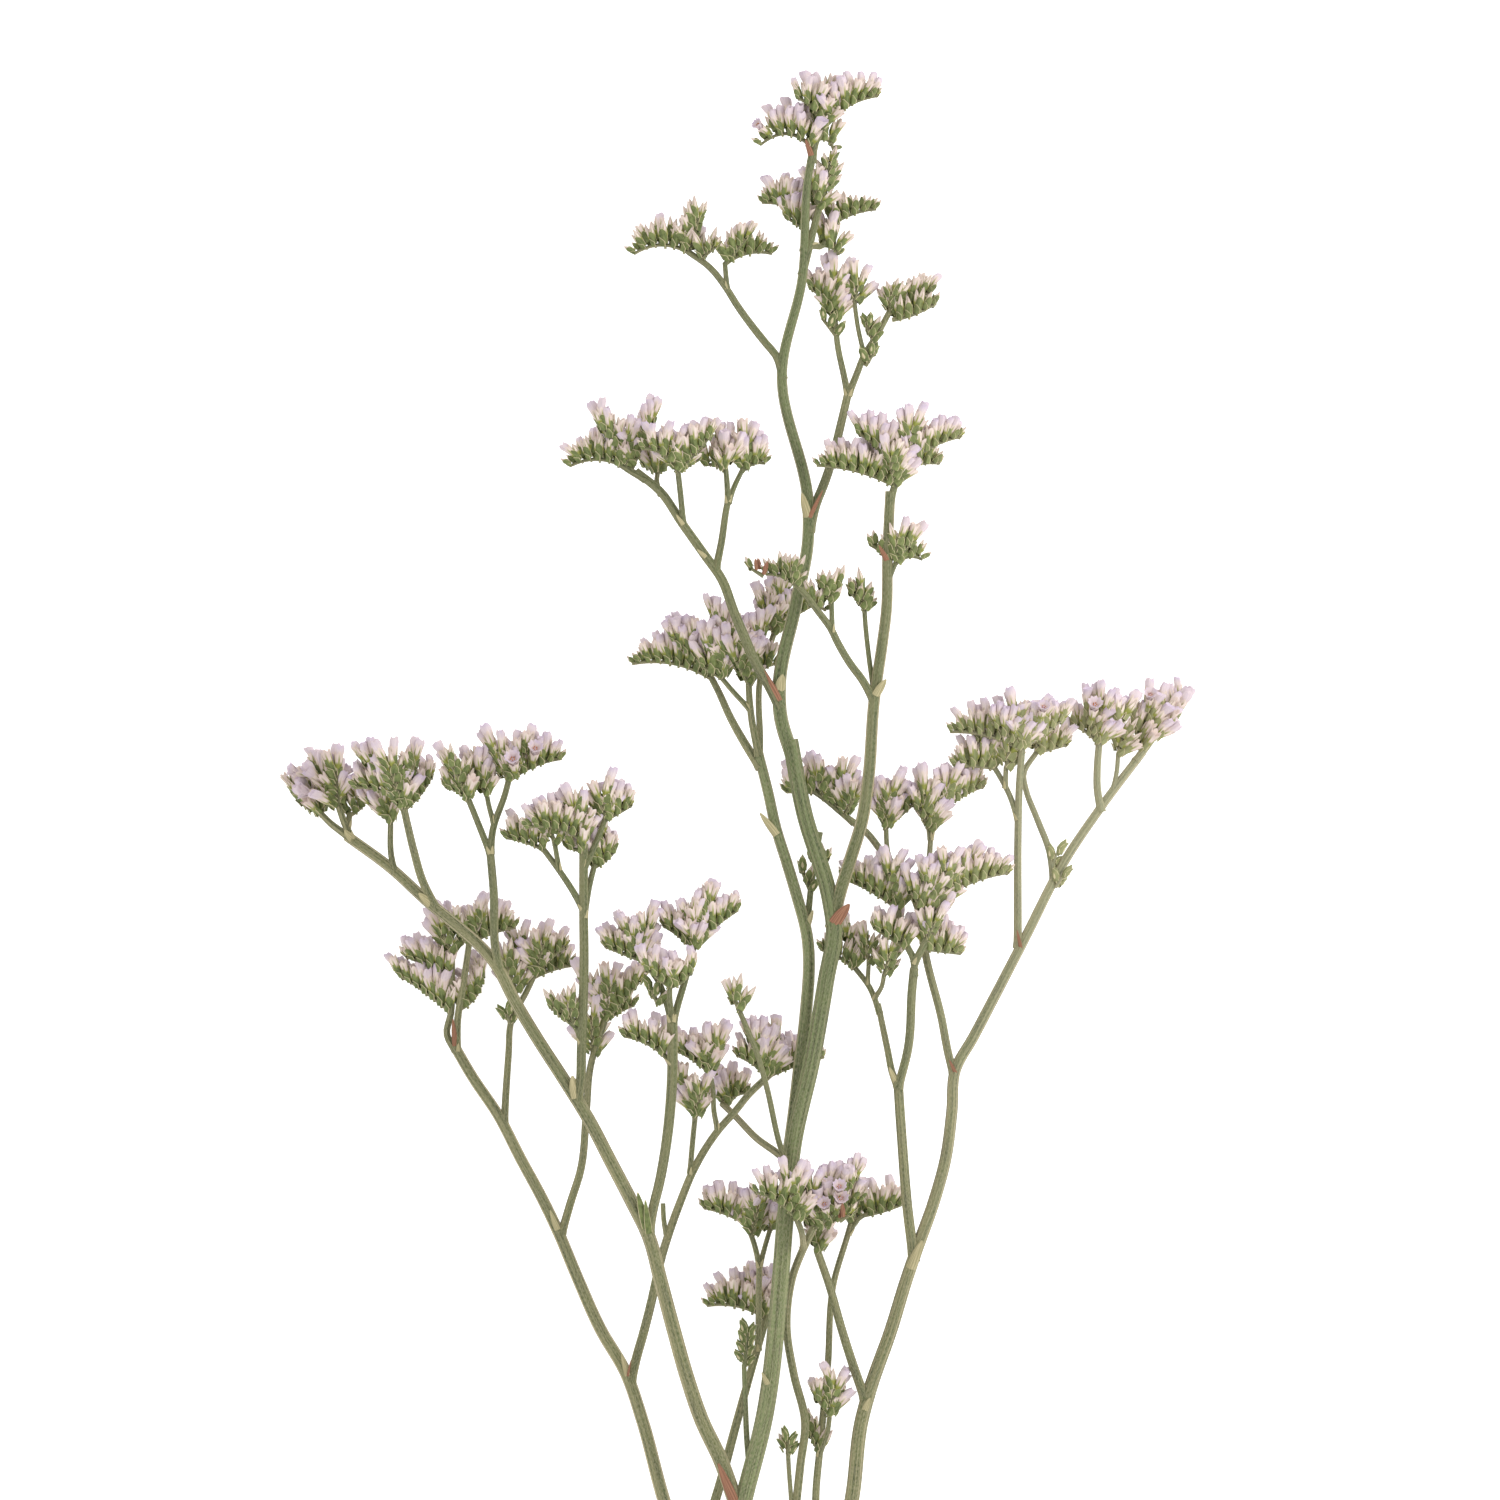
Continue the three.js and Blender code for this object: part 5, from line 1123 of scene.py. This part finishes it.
spray("spray_far_left_twig", [
    (0.95, 0.7, (-61.6, 93.2, 15.2), (-61.4, 98, 15), (-60.5, 112), (-60, 119, 14.5), (-56, 127),
     (-54, 131.2, 14)),
], [
    ((-58.4, 126.5, 14.5), (-61, 134, 16), 0),
    ((-54, 130.7, 14), (-58, 138.8, 14), 0),
    ((-54, 130.7, 14), (-52, 138.5, 17), 0),
    ((-54, 130.8, 14), (-46.5, 138, 15)),
    ((-54, 130.6, 14), (-43.5, 133.5, 11)),
    ((-60.2, 119, 14.8), (-60.9, 121.3, 16), 0, GREEN),
])
spray("spray_far_left_inner", [
    (1.05, 0.8, (-47.3, 66, 16), (-45, 74, 17), (-42.5, 82), (-41, 97, 20), (-40, 108), (-36.3, 120, 22)),
], [
    ((-39.4, 110.5, 21), (-39.6, 119, 23), 0),
    ((-36.5, 119.4, 22), (-40, 127.5, 23), 0),
    ((-36.4, 119.5, 22), (-35, 128.5, 25), 0),
    ((-36.4, 119.6, 22), (-27.8, 129.3, 22), 0),
    ((-36.4, 119.4, 22), (-29, 123.5, 18)),
])
spray("spray_far_left_crossing", [
    (1.2, 0.85, (-29.9, 29, 16), (-28.5, 35, 16.5), (-26.8, 41), (-25, 48, 19.5), (-22, 61, 22),
     (-17.2, 75), (-14.3, 82, 27), (-7.4, 93, 30), (-3.8, 97), (-0.6, 101, 30), (5, 106.3, 28.5)),
    (0.65, 0.6, (-20.7, 64.5, 22.8), (-21.6, 70, 24), (-21.8, 74, 24)),
    (0.7, 0.65, (-15, 81.5, 27), (-14.5, 88, 29), (-13.7, 96, 30)),
    (0.65, 0.6, (-8.1, 92.5, 30), (-9, 97, 31), (-9.3, 103, 32), (-10.2, 107.3, 32.5)),
], [
    ((-13.7, 95.5, 30), (-17.8, 104.5, 29), 0),
    ((-10.1, 106.8, 32.5), (-17.8, 112, 31)),
    ((-10.2, 106.9, 32.5), (-8, 113.5, 34), 0),
    ((4.6, 105.9, 28.5), (-3, 111, 29)),
    ((4.9, 106, 28.5), (6.5, 114.5, 26), 0),
    ((4.9, 106, 28.5), (18.5, 110.5, 21), 0.05),
    ((-13.7, 95.5, 30), (-12.5, 101.5, 33), 0),
    ((4.9, 106, 28.5), (0, 115, 30)),
])

# Two single spikes on thin side twigs of the main stem: one in front, one behind.
spray("spray_single_front", [
    (0.75, 0.65, (10, 83, 34), (8.3, 86.5, 37.5), (4, 104, 44), (2, 111, 46), (-3, 123.3, 49)),
], [
    ((-2.9, 122.8, 49), (-3.8, 125.8, 50), 0, PALE),
])
spray("spray_single_back", [
    (0.95, 0.8, (10, 84, 34), (7, 86.5, 31), (2, 90, 25), (-4, 96, 16), (-7, 98.8, 12)),
], [
    ((-6.7, 98.5, 12.3), (-6.5, 103, 12), 0),
    ((-6.7, 98.5, 12.3), (-1, 101.5, 11), 0.2),
])

# Centre spray: a dense head on a low side stem that passes behind the main stem's foot.
spray("spray_centre", [
    (1.1, 0.95, (12, -46, 12.8), (11.3, -25, 14), (11, -10), (12.6, 8, 17), (13.8, 19), (11, 31, 20.5),
     (9.2, 43, 22.5), (10.5, 55, 26), (13, 62, 31), (16, 68.3, 36)),
    (0.6, 0.55, (11, -11, 15.3), (10.3, 0, 16.5), (9.7, 8), (9.5, 12, 18)),
    (0.8, 0.75, (13.4, 63, 32), (12.6, 68, 40), (11.6, 70.5, 42)),
], [
    ((9.5, 11, 18), (9.6, 14.6, 19), 0, GREEN),
    ((11.9, 70, 41.6), (1.5, 77, 44), 0.2),
    ((12, 69.7, 41.3), (10, 79, 44), 0),
    ((15.8, 67.8, 35.6), (20, 78, 39), 0),
    ((15.9, 67.9, 35.8), (26.3, 80, 41), 0, OPEN, 0.3),
    ((15.9, 67.7, 35.7), (28.5, 75.5, 37), 0.1, OPEN, 0.1),
    ((15.7, 67.5, 35.3), (22.5, 70.5, 32), 0, PALE, 0.1),
    ((15.8, 68, 35.7), (15.5, 78, 42), 0),
    ((22.4, 69.8, 39.5), (24.6, 71.2, 40), 0, DRIED),
])
spray("spray_centre_low", [
    (1.2, 0.95, (28.8, 25, 20), (26.3, 32, 21.3), (22.8, 43), (20, 53, 25.5), (16.8, 62.3, 27)),
], [
    ((17, 61.7, 27), (14.5, 69.5, 26), 0),
    ((17, 61.7, 27), (19.3, 70.5, 26), 0),
])

# Thin stem behind the centre spray, with a small head low down and two at its top.
spray("spray_centre_back", [
    (1, 0.75, (19.5, -25.5, 14.8), (17, -12, 13.7), (16.5, 0, 13.5), (17.5, 12, 14), (19.5, 33, 15.5),
     (21, 54, 17.5), (24.5, 66), (25.3, 68.8, 20)),
    (0.7, 0.6, (17.3, 10.5, 14), (19.5, 17, 18), (20, 21.3, 20.5)),
    (0.55, 0.55, (24.8, 66, 19.7), (27, 69.8, 20), (29, 71.2, 20)),
], [
    ((20, 20.8, 20.3), (16.8, 25, 21.5), 0),
    ((20, 20.8, 20.3), (21, 27.5, 22.5), 0),
    ((25.3, 68.3, 20), (27, 74.5, 19), 0),
    ((28.6, 70.9, 20), (38, 73.5, 19), -0.05),
    ((17.3, 11.5, 14), (14.6, 17, 13), 0, YOUNG),
])

# Low left spray: a side stem of the far left branch that passes behind the main stem.
spray("spray_low_left", [
    (1.45, 0.95, (-15.2, -20, 14), (-8.5, 0, 12), (-3, 20), (-0.5, 29, 12), (4.4, 46, 13)),
    (0.85, 0.75, (2, 37, 12.8), (2.2, 45, 16), (2.2, 52, 20), (2.4, 59.5, 24)),
    (0.7, 0.65, (2.4, 58, 23.5), (1, 64, 25), (-1, 69.3, 25)),
    (0.65, 0.6, (2.4, 58, 23.5), (4, 64, 23), (5, 67.3, 22)),
], [
    ((4.1, 45, 13), (-10.8, 48, 11), 0.2),
    ((4.1, 45.2, 13), (-0.6, 53, 9), 0),
    ((-0.8, 68.8, 25), (-11.5, 72.8, 24)),
    ((0.5, 65.4, 25), (2, 73, 27), 0),
    ((4.9, 66.8, 22), (6.5, 71, 19), 0),
    ((4.3, 45.4, 13), (5.4, 52, 10), 0),
])

# Right inner sprays: three small heads on the left fork, a wide double one on the right fork.
spray("spray_right_inner_left", [
    (0.75, 0.65, (32.5, 121.5, 32.5), (30, 128, 31), (26, 133.3, 29)),
    (0.55, 0.55, (29.4, 129, 30.7), (29.7, 134.4, 33)),
    (0.6, 0.55, (31.1, 125.3, 31.7), (33, 128.5, 34.5), (33.5, 131.4, 37)),
], [
    ((26.2, 133, 29.2), (24.5, 140, 28), 0, PALE),
    ((26.3, 132.8, 29.2), (17.8, 137.5, 25), 0.1, PALE),
    ((29.7, 134, 33), (29.5, 138.5, 34), 0, PALE),
    ((33.5, 131, 37), (34.8, 136, 39), 0, PALE),
])
spray("spray_right_inner_end", [
    (0.9, 0.7, (41, 131, 41.7), (40.9, 135, 41.9), (39, 139, 41), (37.5, 144, 39), (37, 148.2, 37.5)),
    (0.95, 0.75, (41, 134.2, 41.9), (43, 138, 43), (47, 146, 43), (50, 152.3, 43)),
], [
    ((37, 147.7, 37.6), (23, 155.4, 34), 0.1),
    ((37, 147.8, 37.5), (35, 156.5, 40), 0),
    ((39.3, 138, 41.2), (31, 143, 39.5), 0),
    ((43, 138, 43), (52.6, 136.6, 40), 0),
    ((47, 146, 43), (43.5, 155.5, 46), 0),
    ((45.5, 143.5, 43), (40.4, 152, 43.5), 0),
    ((49.8, 151.8, 43), (54.5, 158.5, 43), 0),
    ((49.8, 151.9, 43), (64.5, 156.8, 40)),
    ((44, 140, 43), (45.8, 144, 46), 0),
    ((48.5, 149, 43), (49, 157.5, 46), 0),
])

# Right middle sprays: a long one behind the upper right branch, and two on upright twigs.
spray("spray_right_middle_end", [
    (0.8, 0.65, (26, 169.2, 30.8), (22, 172.5, 31), (19, 175), (15.5, 177.4, 31)),
], [
    ((16, 177, 31), (9, 177, 29), 0),
    ((18.7, 175.2, 31), (16.8, 180.5, 33), 0),
    ((21.3, 173.1, 31), (23.5, 179.8, 33), 0),
    ((23.5, 171.2, 31), (26, 175.5, 35), 0),
])
spray("spray_right_middle_short", [
    (0.65, 0.6, (37, 156, 29), (34.5, 162, 30), (34, 168.4, 30)),
], [
    ((34, 168, 30), (31.8, 174, 29), 0),
    ((34, 168, 30), (35, 176, 32), 0),
    ((34, 168, 30), (41.5, 174.5, 29), 0),
])
spray("spray_right_middle_tall", [
    (0.8, 0.65, (42.2, 145.5, 29), (43, 152, 31), (44.5, 158, 32), (45.3, 167.3, 32)),
    (0.65, 0.6, (45.1, 165, 32), (46.5, 170, 32), (48.5, 173.3, 32)),
    (0.65, 0.6, (45.2, 165, 32), (44.5, 168.8, 32)),
], [
    ((45.2, 167, 32), (44, 176, 33), 0),
    ((48.3, 172.9, 32), (49.5, 178, 33), 0),
    ((48.3, 172.9, 32), (58.5, 178.3, 26)),
    ((44.6, 168.3, 32), (41.5, 173, 32)),
])

# Right sprays: a wide one on a tall twig, one behind it, and three near the branch's tip.
spray("spray_right_tall", [
    (1.05, 0.85, (67, 138, 28), (67, 145, 29), (67, 165), (67.3, 178, 35), (68, 188.3, 36.5)),
    (0.75, 0.65, (67, 170, 34), (65, 176), (63, 180, 33), (61, 183.3, 32.5)),
    (0.65, 0.6, (63.8, 178, 33.5), (64, 183.3, 35)),
], [
    ((61.2, 183, 32.5), (51, 183.5, 33), 0.05),
    ((61.2, 183, 32.5), (56.5, 190, 32), 0),
    ((67.9, 187.6, 36.5), (50, 192, 34), 0.15),
    ((67.9, 187.8, 36.5), (60.5, 194.5, 38), 0, OPEN, 0),
    ((68, 187.9, 36.5), (66.5, 196, 40), 0),
    ((68, 187.9, 36.5), (73, 195, 39), 0, OPEN, 0),
    ((68, 187.8, 36.5), (78.3, 195.2, 36), 0),
    ((64, 182.8, 35), (64.8, 187, 36), 0),
])
spray("spray_right_crossing", [
    (0.9, 0.65, (76, 154.5, 25.3), (75, 162, 25), (72, 170), (69, 178, 23.5), (68.5, 181), (72, 187.3, 24)),
], [
    ((71.8, 186.9, 24), (79, 188.7, 23), 0),
    ((71.7, 186.7, 24), (72, 192, 25), 0),
    ((75.4, 158.5, 25.2), (76.7, 161.5, 26), 0, GREEN),
    ((76.4, 153.2, 26), (78, 155.6, 27), 0, GREEN),
])
spray("spray_right_upright", [
    (1, 0.85, (88, 172, 20.6), (87, 178, 21), (87, 183), (87.5, 189.7, 22.5)),
], [
    ((87.4, 189.2, 22.5), (80, 194, 20), 0.15),
    ((87.4, 189.2, 22.5), (84, 197, 24), 0, OPEN, 0),
    ((87.5, 189.2, 22.5), (88, 198, 25), 0),
    ((87.5, 189.2, 22.5), (93, 195.5, 23), 0),
])
spray("spray_right_small", [
    (0.6, 0.55, (91, 177.5, 18.8), (92, 182.5, 17.5), (92.3, 186.6, 16.5)),
], [
    ((92.3, 186.2, 16.5), (93.5, 191, 15), 0, PALE),
])
spray("spray_right_end", [
    (0.9, 0.75, (96.5, 184.6, 15.3), (99, 187.5, 13.5), (101, 190.2, 12)),
], [
    ((98.5, 187, 13.8), (96, 195, 12), 0),
    ((100.8, 189.8, 12.2), (99.5, 198, 14), 0, OPEN, 0),
    ((100.8, 190.2, 12.2), (103.4, 197, 11), 0),
    ((100.8, 189.8, 12.2), (108, 199, 4.5), -0.1),
])

# ---- Floor, light and camera ---------------------------------------------------------------------
# A plain pale floor under a bright, soft studio light. The camera looks straight down on the spray.
FLOOR_SIZE = 60
FLOOR_TONE = 0.9
FLOOR_GLOW = 0.5
SKY_LIGHT = 1.15
LAMP_PLACE = Vector((0.4, 0.2, 0.45))
LAMP_SIZE = 0.35
LAMP_POWER = 1.5
FRAME_WIDTH = 0.375
FRAME_CENTRE = Vector((0, 187.5, 35))
LENS = 600
SENSOR = 36
FAR = 100
WHITE = (1, 1, 1, 1)

bpy.ops.object.select_all(action="DESELECT")
bpy.ops.mesh.primitive_plane_add(size=FLOOR_SIZE, location=(0, 0, 0))
floor = bpy.context.object
floor.name = "floor"
floor_white, tree, shader = surface("floor_white", roughness=0.9)
shader.inputs["Base Color"].default_value = (FLOOR_TONE, FLOOR_TONE, FLOOR_TONE, 1)
shader.inputs["Emission Color"].default_value = WHITE
shader.inputs["Emission Strength"].default_value = FLOOR_GLOW
floor.data.materials.append(floor_white)

world = bpy.data.worlds.new("studio")
bpy.context.scene.world = world
world.use_nodes = True
world.node_tree.nodes["Background"].inputs["Color"].default_value = WHITE
world.node_tree.nodes["Background"].inputs["Strength"].default_value = SKY_LIGHT

bpy.ops.object.select_all(action="DESELECT")
bpy.ops.object.light_add(type="AREA", location=LAMP_PLACE)
lamp = bpy.context.object
lamp.data.shape = "DISK"
lamp.data.size = LAMP_SIZE
lamp.data.energy = LAMP_POWER
lamp.rotation_euler = (-LAMP_PLACE).to_track_quat("-Z", "Y").to_euler()

aim = (FRAME_CENTRE - MIDDLE) * MM
height = FRAME_WIDTH * LENS / SENSOR
bpy.ops.object.camera_add(location=(aim.x, aim.y, aim.z + height), rotation=(0, 0, 0))
camera = bpy.context.object
camera.data.lens = LENS
camera.data.sensor_width = SENSOR
camera.data.clip_end = FAR
bpy.context.scene.camera = camera
bpy.context.scene.view_settings.view_transform = "Standard"
